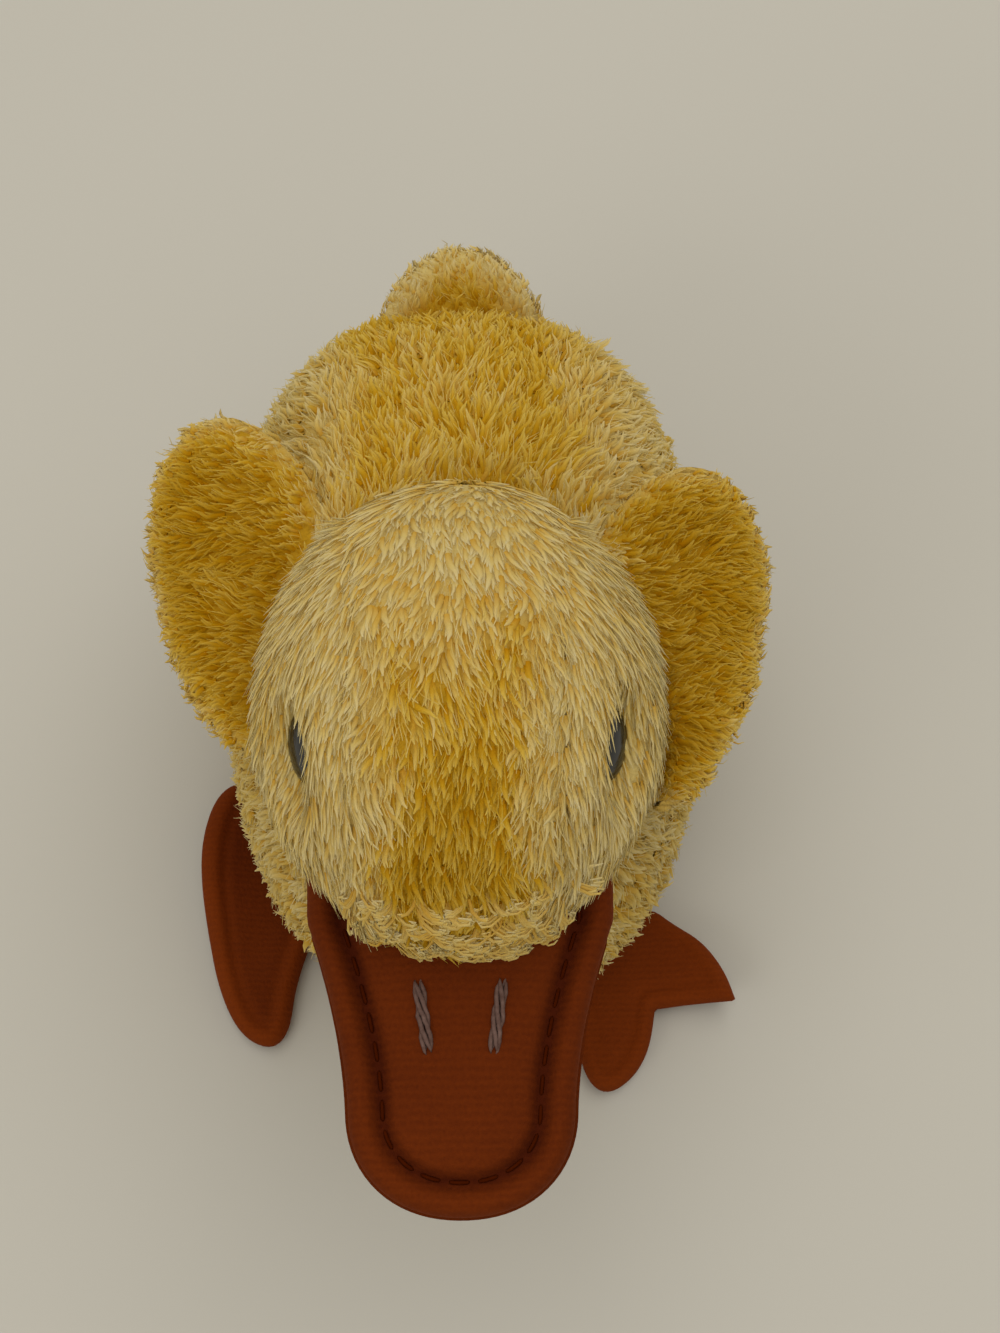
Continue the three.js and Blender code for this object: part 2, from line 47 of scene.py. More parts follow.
class Wire:
    def __init__(self, tree, socket=None):
        self.tree = tree
        self.socket = socket

    def node(self, kind, settings=None, inputs=None, output=0):
        made = self.tree.nodes.new(kind)
        for key, value in (settings or {}).items():
            if key == "stops":
                self.setStops(made.color_ramp, value)
            else:
                setattr(made, key, value)
        for key, value in (inputs or {}).items():
            if isinstance(value, Wire):
                self.tree.links.new(value.socket, made.inputs[key])
            else:
                made.inputs[key].default_value = value
        return Wire(self.tree, made.outputs[output])

    def setStops(self, ramp, stops):
        while len(ramp.elements) < len(stops):
            ramp.elements.new(1.0)
        for element, (place, tint) in zip(ramp.elements, stops):
            element.position = place
            element.color = tint

    def maths(self, operation, first, second):
        return self.node("ShaderNodeMath", {"operation": operation}, {0: first, 1: second})

    def __add__(self, other):
        return self.maths("ADD", self, other)

    def __sub__(self, other):
        return self.maths("SUBTRACT", self, other)

    def __mul__(self, other):
        return self.maths("MULTIPLY", self, other)

    def sine(self):
        return self.node("ShaderNodeMath", {"operation": "SINE"}, {0: self})

    def part(self, axis):
        return self.node("ShaderNodeSeparateXYZ", None, {0: self}, axis)


def colour(red, green, blue):  # a screen colour, 0 to 255, as Blender's linear one
    def linear(part):
        share = part / 255
        return share / 12.92 if share <= 0.04045 else ((share + 0.055) / 1.055) ** 2.4
    return (linear(red), linear(green), linear(blue), 1.0)


def newMaterial(name, settings):
    material = bpy.data.materials.new(name)
    material.use_nodes = True
    shader = material.node_tree.nodes["Principled BSDF"]
    for key, value in settings.items():
        shader.inputs[key].default_value = value
    return material, shader, Wire(material.node_tree)


def feed(wire, shader, socket):
    wire.tree.links.new(wire.socket, shader.inputs[socket])


def mixColours(wire, factor, first, second):
    return wire.node("ShaderNodeMix", {"data_type": "RGBA"}, {0: factor, 6: first, 7: second}, 2)


def bump(wire, height, strength, distance):
    return wire.node("ShaderNodeBump", None, {"Strength": strength, "Distance": distance, "Height": height})


def objectPlace(wire):
    return wire.node("ShaderNodeTexCoord", None, None, 3)


def cloudy(wire, place, scale, detail):
    return wire.node("ShaderNodeTexNoise", None, {"Vector": place, "Scale": scale, "Detail": detail})


# Materials

# each tone runs from a root colour to a tip colour; the darker roots are partly the fibres' own colour and
# partly painted shade deep in the pile
plushLook = {
    "deep": [(0.0, colour(140, 89, 0)), (0.5, colour(154, 109, 8)), (1.0, colour(170, 132, 34))],
    "gold": [(0.0, colour(166, 112, 4)), (0.5, colour(181, 138, 28)), (1.0, colour(196, 166, 74))],
    "pale": [(0.0, colour(184, 143, 54)), (0.5, colour(194, 170, 102)), (1.0, colour(198, 182, 136))],
    "glow": 0.2,
    "glowReach": 0.0003,
}


def toned(wire, tone, deep, gold, pale):
    return mixColours(wire, tone * 2 - 1, mixColours(wire, tone * 2, deep, gold), pale)


def makePlush():  # u is the strand's tone and v runs from its root to its tip
    material, shader, wire = newMaterial("plushPile", {
        "Roughness": 0.9, "Specular IOR Level": 0.0, "Subsurface Weight": plushLook["glow"],
        "Subsurface Radius": (1.0, 0.95, 0.75), "Subsurface Scale": plushLook["glowReach"],
    })
    strand = wire.node("ShaderNodeUVMap", {"uv_map": "OFBake"})
    tone = strand.part(0)
    along = strand.part(1)
    shades = [
        wire.node("ShaderNodeValToRGB", {"stops": plushLook[shade]}, {0: along})
        for shade in ("deep", "gold", "pale")
    ]
    feed(toned(wire, tone, *shades), shader, "Base Color")
    fibres = cloudy(wire, objectPlace(wire), 3800.0, 2.0)
    feed(bump(wire, fibres, 0.7, 0.00012), shader, "Normal")
    return material


def makeBacking():  # the knitted cloth that the pile stands on, toned as the pile is
    material, shader, wire = newMaterial("plushBacking", {"Roughness": 0.95, "Specular IOR Level": 0.1})
    place = objectPlace(wire)
    tone = wire.node("ShaderNodeAttribute", {"attribute_name": "tone"}, None, 2)
    patches = cloudy(wire, place, 420.0, 4.0)
    fibres = cloudy(wire, place, 2400.0, 2.0)
    shades = [plushLook[shade][1][1] for shade in ("deep", "gold", "pale")]
    feed(toned(wire, tone + patches * 0.5 - 0.25, *shades), shader, "Base Color")
    feed(bump(wire, fibres, 0.8, 0.0003), shader, "Normal")
    return material


velourLook = {
    "high": colour(108, 43, 3),
    "low": colour(64, 18, 0),
    "ribs": 1250.0,  # rows a metre
    "ribDepth": 0.00016,
}


def makeVelour():
    material, shader, wire = newMaterial("rustVelour", {
        "Roughness": 0.9, "Specular IOR Level": 0.08, "Sheen Weight": 0.12, "Sheen Roughness": 0.45,
        "Sheen Tint": colour(200, 92, 14),
    })
    place = objectPlace(wire)
    sway = cloudy(wire, place, 220.0, 2.0)
    rows = (place.part(1) * velourLook["ribs"] * fullTurn + sway * 5.0).sine() * 0.5 + 0.5
    nap = cloudy(wire, place, 2600.0, 3.0)
    worn = cloudy(wire, place, 90.0, 4.0)
    # a value painted on the bill and the feet: painted shade where it is above zero, painted light where it
    # is below
    crease = wire.node("ShaderNodeAttribute", {"attribute_name": "crease"}, None, 2)
    shade = rows * 0.1 + nap * 0.5 + worn * 0.6 - 0.1 - crease
    feed(mixColours(wire, shade, velourLook["low"], velourLook["high"]), shader, "Base Color")
    feed(bump(wire, rows * 0.3 + nap, 0.6, velourLook["ribDepth"]), shader, "Normal")
    return material


def makeLining():
    material, shader, wire = newMaterial("liningKnit", {"Roughness": 0.85, "Specular IOR Level": 0.2})
    place = objectPlace(wire)
    rows = (place.part(2) * 5600.0).sine() * 0.5 + 0.5
    fine = cloudy(wire, place, 1400.0, 2.0)
    mixed = mixColours(wire, rows * 0.4 + fine * 0.5, colour(196, 158, 78), colour(222, 190, 116))
    feed(mixed, shader, "Base Color")
    feed(bump(wire, rows + fine, 0.4, 0.0002), shader, "Normal")
    return material


def mottled(name, settings, cloud, dark, light, relief=None, gloss=None):  # two shades in soft patches
    material, shader, wire = newMaterial(name, settings)
    patches = cloudy(wire, objectPlace(wire), *cloud)
    feed(mixColours(wire, patches, dark, light), shader, "Base Color")
    if relief:
        feed(bump(wire, patches, *relief), shader, "Normal")
    if gloss:
        feed(patches * gloss[0] + gloss[1], shader, "Roughness")
    return material


threadFinish = {
    "settings": {"Roughness": 0.8, "Specular IOR Level": 0.0},
    "cloud": (1800.0, 2.0), "relief": (0.5, 0.0001),
}
feltFinish = {
    "settings": {"Roughness": 1.0, "Specular IOR Level": 0.1},
    "cloud": (500.0, 5.0), "relief": (0.6, 0.0006),
}
eyeFinish = {
    "settings": {"Specular IOR Level": 0.25, "Coat Weight": 0.15, "Coat Roughness": 0.05},
    "cloud": (900.0, 3.0), "gloss": (0.12, 0.06),
}
washerFinish = {"settings": {"Specular IOR Level": 0.4}, "cloud": (400.0, 2.0), "gloss": (0.2, 0.4)}


def makeFill(name, base):
    pale = (base[0] * 1.06, base[1] * 1.06, base[2] * 1.06, 1.0)
    return mottled(name, dark=base, light=pale, **feltFinish)


plush = makePlush()
backing = makeBacking()
velour = makeVelour()
lining = makeLining()
rustThread = mottled("rustThread", dark=colour(52, 15, 1), light=colour(70, 23, 3), **threadFinish)
nostrilThread = mottled("nostrilThread", dark=colour(66, 44, 36), light=colour(120, 96, 86), **threadFinish)
liningThread = mottled("liningThread", dark=colour(206, 172, 96), light=colour(232, 204, 136), **threadFinish)
stuffing = makeFill("stuffingFibre", colour(226, 224, 216))
interlining = makeFill("interliningFelt", colour(214, 208, 194))
eyeBlack = mottled("eyeBlack", dark=colour(9, 9, 10), light=colour(22, 23, 24), **eyeFinish)
washerPlastic = mottled(
    "washerPlastic", dark=colour(224, 220, 208), light=colour(238, 235, 226), **washerFinish,
)
print("materials made")


# Modelling helpers

def switchTo(mode):
    bpy.ops.object.mode_set(mode=mode)


def startAfresh():
    if bpy.context.object and bpy.context.object.mode != "OBJECT":
        switchTo("OBJECT")
    bpy.ops.object.select_all(action="DESELECT")


def pick(piece):
    startAfresh()
    piece.select_set(True)
    bpy.context.view_layer.objects.active = piece


def renamed(piece, name):
    piece.name = name
    piece.data.name = name
    return piece


def named(name):  # the piece that was just added
    return renamed(bpy.context.object, name)


def applied(piece, kind, **settings):
    pick(piece)
    modifier = piece.modifiers.new(kind.title(), kind)
    for key, value in settings.items():
        setattr(modifier, key, value)
    bpy.ops.object.modifier_apply(modifier=modifier.name)


def triples(items, field):  # one vector for each point or face
    flat = np.empty(len(items) * 3)
    items.foreach_get(field, flat)
    return flat.reshape(-1, 3)


def points(piece):  # in millimetres
    return triples(piece.data.vertices, "co") / mm


def setPoints(piece, places):
    piece.data.vertices.foreach_set("co", (np.asarray(places) * mm).ravel())
    piece.data.update()


def normals(piece):
    return triples(piece.data.vertices, "normal")


def faceMiddles(piece):
    return triples(piece.data.polygons, "center") / mm


def edit(piece, chosen=None):  # enters edit mode with the chosen faces selected, or all of them
    pick(piece)
    switchTo("EDIT")
    bpy.ops.mesh.select_mode(type="FACE")
    bpy.ops.mesh.select_all(action="SELECT" if chosen is None else "DESELECT")
    if chosen is not None:
        switchTo("OBJECT")
        piece.data.polygons.foreach_set("select", np.asarray(chosen, dtype=bool))
        switchTo("EDIT")


def deleteFaces(piece, chosen):
    edit(piece, chosen)
    bpy.ops.mesh.delete(type="FACE")
    switchTo("OBJECT")


def separateFaces(piece, chosen, name):
    edit(piece, chosen)
    bpy.ops.mesh.separate(type="SELECTED")
    switchTo("OBJECT")
    cut = [o for o in bpy.context.selected_objects if o is not piece][0]
    return renamed(cut, name)


def cutPlane(piece, place, normal):
    edit(piece)
    bpy.ops.mesh.bisect(plane_co=[p * mm for p in place], plane_no=normal)
    switchTo("OBJECT")


def merged(piece, gap):  # closes seams and poles, with the faces outward
    edit(piece)
    bpy.ops.mesh.remove_doubles(threshold=gap * mm)
    bpy.ops.mesh.normals_make_consistent(inside=False)
    switchTo("OBJECT")


def roundBall(name, cuts):  # an even ball of quads, one millimetre in radius
    startAfresh()
    bpy.ops.mesh.primitive_cube_add(size=2 * mm)
    ball = named(name)
    switchTo("EDIT")
    bpy.ops.mesh.subdivide(number_cuts=cuts)
    switchTo("OBJECT")
    evened = np.tan(np.clip(points(ball), -1, 1) * np.pi / 4)
    setPoints(ball, evened / np.linalg.norm(evened, axis=1, keepdims=True))
    return ball


def wrapped(name, around, along, shape):  # a grid of cloth rolled or folded to shape(u, v) and joined up
    startAfresh()
    bpy.ops.mesh.primitive_grid_add(x_subdivisions=around, y_subdivisions=along, size=2 * mm)
    sheet = named(name)
    spots = points(sheet)
    setPoints(sheet, shape(np.clip((spots[:, 0] + 1) / 2, 0, 1), np.clip((spots[:, 1] + 1) / 2, 0, 1)))
    merged(sheet, 0.01)
    return sheet


def turned(name, around, profile, middle, axes):  # a profile of (radius, height), about the last axis
    line = np.array(profile, dtype=float)
    steps = np.linspace(0, 1, len(line))

    def shape(u, v):
        angle = u * 2 * np.pi
        radius = np.interp(v, steps, line[:, 0])
        height = np.interp(v, steps, line[:, 1])
        return np.stack([radius * np.cos(angle), radius * np.sin(angle), height], axis=1) @ axes + middle
    return wrapped(name, around, len(line) - 1, shape)


# the cloth is worked out at ten times the size, where its settings suit
clothLook = {"scale": 10.0, "quality": 5, "mass": 0.3, "frames": 20}


def puff(piece, held, pressure, cap):  # fills a closed pad, with its seams held in
    before = points(piece)
    copy = piece.copy()
    copy.data = piece.data.copy()
    bpy.context.collection.objects.link(copy)
    setPoints(copy, before * clothLook["scale"])
    group = copy.vertex_groups.new(name="held")
    group.add([int(i) for i in np.flatnonzero(held)], 1.0, "REPLACE")
    cloth = copy.modifiers.new("Cloth", "CLOTH")
    cloth.settings.quality = clothLook["quality"]
    cloth.settings.mass = clothLook["mass"]
    cloth.settings.use_pressure = True
    cloth.settings.uniform_pressure_force = pressure
    cloth.settings.vertex_group_mass = "held"
    cloth.settings.effector_weights.gravity = 0
    scene = bpy.context.scene
    for frameNumber in range(1, clothLook["frames"] + 1):
        scene.frame_set(frameNumber)
    graph = bpy.context.evaluated_depsgraph_get()
    swollen = copy.evaluated_get(graph).to_mesh()
    after = triples(swollen.vertices, "co") / mm / clothLook["scale"]
    copy.evaluated_get(graph).to_mesh_clear()
    scene.frame_set(1)
    bpy.data.objects.remove(copy)
    move = after - before
    reach = np.linalg.norm(move, axis=1, keepdims=True)
    setPoints(piece, before + move * np.minimum(1.0, cap / np.maximum(reach, 1e-9)))


def dressed(piece, material, body, slot, *nodes):
    piece.data.materials.clear()
    piece.data.materials.append(material)
    pick(piece)
    bpy.ops.object.shade_smooth()
    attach(piece, body)
    if nodes:
        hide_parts(*nodes)
    return piece


def sewn(cloth, look, material, body, slot, node):  # gives the cloth its thickness
    applied(cloth, "SOLIDIFY", thickness=look["cloth"] * mm, offset=-1.0)
    dressed(cloth, material, body, slot, node)


def marked(piece, name, amount):  # a value at each point that the material reads
    layer = piece.data.attributes.new(name, "FLOAT", "POINT")
    layer.data.foreach_set("value", amount.astype(np.float32))


def unit(vectors):
    return vectors / np.maximum(np.linalg.norm(vectors, axis=-1, keepdims=True), 1e-9)


def ramp(values, start, over):  # 0 up to the start, then rising to 1
    return np.clip((values - start) / over, 0, 1)


def lengths(vectors):
    return np.linalg.norm(vectors, axis=1)


def pathSteps(line):  # how far along a chain of points each one lies
    return np.concatenate([[0], np.cumsum(lengths(np.diff(line, axis=0)))])


def near(values, line):
    return np.abs(values - line) < 0.01


def lumps(places, size, seed):  # smooth noise at each place
    shift = Vector((seed * 7.1, seed * 3.7, seed * 5.3))
    return np.array([noise.noise(Vector(p) / size + shift) for p in places])


# Pile: one strand of each kind is modelled, then copied along a curve for each root

def modelStrand(sides, cuts):
    startAfresh()
    bpy.ops.mesh.primitive_cylinder_add(vertices=sides, radius=mm, depth=mm, location=(0, 0, mm / 2))
    strand = named("strand")
    pick(strand)
    bpy.ops.object.transform_apply(location=True)
    for i in range(1, cuts + 1):
        cutPlane(strand, (0, 0, i / (cuts + 1)), (0, 0, 1))
    faces = [list(face.vertices) for face in strand.data.polygons]
    form = {"sides": sides, "places": points(strand), "faces": faces}
    form["levels"] = np.unique(np.round(form["places"][:, 2], 4))
    bpy.data.objects.remove(strand)
    return form


strandForms = {"fine": (3, 1), "sleek": (4, 2), "lock": (4, 3), "curl": (4, 10)}  # sides and cuts
strands = {kind: modelStrand(*form) for kind, form in strandForms.items()}
pileLook = {
    "pressed": 84.0, "flattest": 1.55, "toneSwirl": 0.22, "toneStray": 0.08, "deepest": 0.03, "palest": 0.94,
}


def surfaceOf(piece):  # corners of each triangle, and smooth normals at them
    mesh = piece.data
    mesh.calc_loop_triangles()
    corner = np.empty(len(mesh.loop_triangles) * 3, dtype=np.int64)
    mesh.loop_triangles.foreach_get("vertices", corner)
    corner = corner.reshape(-1, 3)
    return points(piece)[corner], normals(piece)[corner]


def scatter(surface, density, rng):  # density is strands to a square millimetre
    corners, bends = surface
    across = np.cross(corners[:, 1] - corners[:, 0], corners[:, 2] - corners[:, 0])
    area = lengths(across) / 2
    count = int(area.sum() * density)
    share = np.cumsum(area) / area.sum()
    chosen = np.searchsorted(share, (np.arange(count) + rng.random(count)) / count)
    chosen = np.minimum(chosen, len(share) - 1)
    first = np.sqrt(rng.random(count))
    second = rng.random(count)
    weights = np.stack([1 - first, first * (1 - second), first * second], axis=1)
    roots = np.einsum("ij,ijk->ik", weights, corners[chosen])
    return roots, unit(np.einsum("ij,ijk->ik", weights, bends[chosen]))


def growPile(name, surface, body, look, flow, keep=None, settle=None):
    rng = np.random.default_rng(look["seed"])
    roots, outward = scatter(surface, look["density"], rng)
    if keep is not None:
        kept = keep(roots)
        roots = roots[kept]
        outward = outward[kept]
    outward = np.repeat(outward, look["tuft"], axis=0)
    roots = np.repeat(roots, look["tuft"], axis=0) + rng.normal(0, look["tuftSize"], (len(outward), 3))
    total = len(roots)

    # strands lie with the nap of the cloth, and neighbours swirl and wave together
    swirl = np.array([noise.noise_vector(Vector(p) / look["swirlSize"]) for p in roots])
    nap = unit(flow(roots)) + swirl * look["swirl"] + rng.normal(0, look["stray"], (total, 3))
    nap = unit(nap - outward * (nap * outward).sum(axis=1, keepdims=True))
    side = np.cross(outward, nap)

    def varied(low, high):  # how much the strands of one tuft differ
        return 1 + look["spread"] * rng.uniform(low, high, total)

    length = look["length"] * varied(-0.25, 0.2) * (1 + 0.35 * swirl[:, 0])
    length = length * look["trim"](roots) if "trim" in look else length
    lean = np.radians(look["lean"]) * varied(-0.2, 0.15)
    if "press" in look:  # where the nap lies flat
        lean = lean + (np.radians(pileLook["pressed"]) - lean) * look["press"](roots)
    droop = np.radians(look["droop"]) * varied(-0.2, 0.2)
    phase = swirl[:, 1] * 9 + rng.normal(0, 0.7, total)
    turns = look["turns"] * varied(-0.2, 0.2)
    radius = look["radius"] * rng.uniform(0.7, 1.3, total)
    hand = np.where(swirl[:, 0] > 0, 1.0, -1.0)
    ring = look.get("ring", 0.0) * (1 + 0.5 * swirl[:, 1])

    form = strands[look["strand"]]
    levels = form["levels"]
    paths = []
    spot = roots.copy()
    last = 0.0
    for level in levels:
        angle = np.minimum(lean + droop * level, pileLook["flattest"])
        heading = outward * np.cos(angle)[:, None] + nap * np.sin(angle)[:, None]
        spot = spot + heading * (length * (level - last))[:, None]
        last = level
        bend = turns * fullTurn * level
        wave = look["wave"] * level ** 0.7
        curl = side * (np.sin(phase + bend) * wave)[:, None]
        curl = curl + np.cross(heading, side) * (np.cos(phase + bend) * wave * look["loop"])[:, None]
        line = spot + curl + heading * (ring * np.sin(bend))[:, None]
        line = line + side * (hand * ring * (1 - np.cos(bend)))[:, None]
        if settle is not None:
            line = settle(roots, line)
        paths.append(line)

    thickness = np.interp(levels, np.linspace(0, 1, len(look["taper"])), look["taper"])
    places = np.empty((total, len(form["places"]), 3))
    facing = np.empty_like(places)  # strands take light much as the cloth under them does
    for index, (x, y, z) in enumerate(form["places"]):
        level = int(np.argmin(np.abs(levels - z)))
        ahead = paths[min(level + 1, len(levels) - 1)] - paths[max(level - 1, 0)]
        across = unit(np.cross(ahead, outward + side * 0.01))
        upright = unit(np.cross(across, ahead))
        wide = (radius * thickness[level])[:, None]
        places[:, index] = paths[level] + (across * x - upright * y * look["flat"]) * wide
        facing[:, index] = unit(outward * look["soft"] + across * x - upright * y)

    tone = toneAt(roots, look) + swirl[:, 2] * pileLook["toneSwirl"]
    tone = tone + rng.normal(0, pileLook["toneStray"], total)
    mesh = bpy.data.meshes.new(name)
    buildStrands(mesh, form, places, np.clip(tone, pileLook["deepest"], pileLook["palest"]))
    mesh.shade_smooth()
    mesh.normals_split_custom_set_from_vertices(facing.reshape(-1, 3).tolist())
    pile = bpy.data.objects.new(name, mesh)
    bpy.context.collection.objects.link(pile)
    pile.data.materials.append(plush)
    pile.visible_shadow = look["shadow"]  # fine fibres let the light through
    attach(pile, body)
    print(name, total, "strands")
    return pile


def toneAt(places, look):  # 0 is deep gold and 1 is pale
    tone = np.full(len(places), 0.5 + look["tone"])
    return tone + look["tint"](places) if "tint" in look else tone


def buildStrands(mesh, form, places, tone):
    total, corners = places.shape[:2]
    sizes = np.array([len(face) for face in form["faces"]])
    order = np.concatenate([np.array(face) for face in form["faces"]])
    allCorners = (order[None] + (np.arange(total) * corners)[:, None]).ravel()
    starts = np.concatenate([[0], np.cumsum(np.tile(sizes, total))[:-1]])
    mesh.vertices.add(total * corners)
    mesh.vertices.foreach_set("co", (places * mm).astype(np.float32).ravel())
    mesh.loops.add(len(allCorners))
    mesh.loops.foreach_set("vertex_index", allCorners.astype(np.int32))
    mesh.polygons.add(total * len(sizes))
    mesh.polygons.foreach_set("loop_start", starts.astype(np.int32))
    mesh.update(calc_edges=True)
    angle = np.arctan2(form["places"][:, 1], form["places"][:, 0])
    sides = form["sides"]
    aside = (np.round(angle / (2 * np.pi / sides)) % sides) * 0.006
    share = form["places"][:, 2]
    share = np.where(share > 0.99, 0.98 + aside * 0.6, np.where(share < 0.01, aside * 0.6, share))
    layer = mesh.uv_layers.new(name="OFBake")
    u = (tone[:, None] + aside[order][None]).ravel()
    v = np.tile(share[order], total)
    layer.data.foreach_set("uv", np.stack([u, v], axis=1).astype(np.float32).ravel())


# Two coats of pile: soft locks that lie on the cloth, and fine hairs that stand out of them

lockCoat = {
    "strand": "lock", "density": 0.7, "tuft": 3, "tuftSize": 0.22, "length": 3.4, "lean": 77, "droop": 8,
    "wave": 0.4, "loop": 0.15, "turns": 0.8, "swirl": 0.7, "swirlSize": 6.0, "stray": 0.16, "radius": 0.26,
    "flat": 0.5, "tone": 0.0, "soft": 0.9, "spread": 1.0, "shadow": False,
    "taper": (0.9, 1.0, 0.95, 0.7, 0.15), "slot": "golden_plush",
}
hairCoat = dict(
    lockCoat, strand="fine", density=2.6, tuft=1, length=3.2, lean=62, droop=20, wave=0.5, radius=0.075,
    flat=0.7, tone=0.06, taper=(1.0, 1.0, 0.9, 0.4),
)


def combed(places, along, up, spread):  # a nap that runs along and up, and parts from the middle
    nap = np.zeros_like(places)
    nap[:, 0] = places[:, 0] * spread
    nap[:, 1] = along
    nap[:, 2] = up
    return nap


def growCoats(name, cloth, body, flow, keep, settle, seed, locks, hairs):
    marked(cloth, "tone", toneAt(points(cloth), dict(lockCoat, **locks)))
    surface = surfaceOf(cloth)
    growPile(name + "Pile", surface, body, dict(lockCoat, seed=seed, **locks), flow, keep, settle)
    growPile(name + "Hairs", surface, body, dict(hairCoat, seed=seed + 100, **hairs), flow, keep, settle)


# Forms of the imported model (millimetres), whose surface is the tips of the pile

bodySize = {"width": 58.0, "length": 81.0, "height": 54.0, "fullest": 18.0, "roundness": 2.6, "base": 0.8966}
headSize = {"middle": np.array([0.0, -28.61, 62.0]), "radii": np.array([20.5, 24.0, 22.0]), "gusset": 10.25}
neckSize = {"pivot": np.array([0.0, -18.61, 42.0]), "radius": 15.0, "half": 9.5, "finger": 8.5}
pileDepth = 1.0  # the cloth lies this far under the tips


def bodyForm(directions, inset):  # a ball's directions to places on the body
    power = 2 / bodySize["roundness"]
    steep = np.arctan2(directions[:, 2], lengths(directions[:, :2]))
    up = np.clip(steep, 0, None)
    down = np.clip(-steep, 0, None)
    floor = inset * 0.4
    middle = bodySize["fullest"]
    top = bodySize["height"] - inset
    corner = math.radians(58)  # below this a direction meets the flat base
    wall = np.minimum(down / corner, 1.0) * np.pi / 2
    lowShare = bodySize["base"] + (1 - bodySize["base"]) * np.cos(wall) ** power
    flatShare = bodySize["base"] * np.clip((np.pi / 2 - down) / (np.pi / 2 - corner), 0, 1)
    share = np.where(steep >= 0, np.cos(up) ** power, np.where(down < corner, lowShare, flatShare))
    high = middle + (top - middle) * np.sin(up) ** power
    low = middle - (middle - floor) * np.sin(wall) ** power
    ahead = np.arctan2(directions[:, 1], directions[:, 0])
    across = np.sign(np.cos(ahead)) * np.abs(np.cos(ahead)) ** power * share
    along = np.sign(np.sin(ahead)) * np.abs(np.sin(ahead)) ** power * share
    x = (bodySize["width"] / 2 - inset) * across
    y = (bodySize["length"] / 2 - inset) * along
    return np.stack([x, y, np.where(steep >= 0, high, low)], axis=1)


def insideBody(places, inset):
    power = bodySize["roundness"]
    middle = bodySize["fullest"]
    top = bodySize["height"] - inset
    rise = np.clip((places[:, 2] - middle) / (top - middle), 0, 1)
    share = np.maximum((1 - rise ** power) ** (1 / power), 1e-6)
    x = np.abs(places[:, 0]) / ((bodySize["width"] / 2 - inset) * share)
    y = np.abs(places[:, 1]) / ((bodySize["length"] / 2 - inset) * share)
    return (x ** power + y ** power < 1) & (places[:, 2] < top)


def headForm(directions, inset):
    return headSize["middle"] + directions * (headSize["radii"] - inset)


def onHead(places, grow=0.0):  # in shares of the head's radii
    return (places - headSize["middle"]) / (headSize["radii"] + grow)


def underHead(places, grow):  # presses places that the head would meet down into a bowl below it
    local = onHead(places, grow)
    flat = (local[:, :2] ** 2).sum(axis=1)
    bowl = -np.sqrt(np.clip(1 - flat, 0, None))
    local[:, 2] = np.where((flat < 1) & (local[:, 2] > bowl), bowl, local[:, 2])
    return headForm(local, -grow)


def besideHead(places, grow):  # moves places away from the head until they are clear of it
    local = onHead(places, grow)
    far = np.linalg.norm(local, axis=1, keepdims=True)
    return headForm(local / np.minimum(np.maximum(far, 1e-6), 1.0), -grow)


# Frames of the sewn-on pieces: columns are along the seam, outward and up

def frameOf(along, out, place):
    along = np.array(along, dtype=float)
    out = np.array(out, dtype=float)
    out = out - along * out.dot(along)
    out = out / np.linalg.norm(out)
    return np.stack([along, out, np.cross(along, out)], axis=1), np.array(place, dtype=float)


def toWorld(place, local):
    turn, origin = place
    return local @ turn.T + origin


def toLocal(place, world):
    turn, origin = place
    return (world - origin) @ turn


def turnedBy(angle):
    return math.cos(math.radians(angle)), math.sin(math.radians(angle))


dip = turnedBy(17)
tilt = turnedBy(11)
droop = turnedBy(12)
rise = turnedBy(48)
billPlace = frameOf((-1, 0, 0), (0, -dip[0], -dip[1]), (0, -48.863, 55.0))
leftWingPlace = frameOf((0, -tilt[0], -tilt[1]), (droop[0], 0, -droop[1]), (19.837, -13.5, 47.0))
rightWingPlace = frameOf((0, tilt[0], tilt[1]), (-droop[0], 0, -droop[1]), (-20.8, -6.5, 47.0))
tailPlace = frameOf((1, 0, 0), (0, rise[0], rise[1]), (0, 35.733, 40.0))
leftFootPlace = frameOf((-0.99863, -0.052336, 0), (0.052336, -0.99863, 0), (17.0, -34.039, 1.65))
rightFootPlace = frameOf((-0.987688, 0.156434, 0), (-0.156434, -0.987688, 0), (-22.5, -27.599, 1.65))


# Camera, floor and light

view = {
    "place": (0.00292, -0.10503, 0.23313), "azimuth": -0.855, "elevation": 64.551, "roll": 0.238,
    "lens": 51.08, "sensor": 36.0,
}
lamps = {
    "skyPanel": {"place": (0.1, 0.16, 0.93), "size": 1.2, "power": 4.7},
    "frontPanel": {"place": (-0.5, -0.6, 0.5), "size": 0.5, "power": 1.3},
}
studio = {"floor": 2.4, "aim": (0, 0, 0.03), "sky": (1.0, 0.985, 0.95, 1.0), "skyPower": 0.62}
paperFinish = {"settings": {"Roughness": 0.9, "Specular IOR Level": 0.1}, "cloud": (6.0, 2.0)}


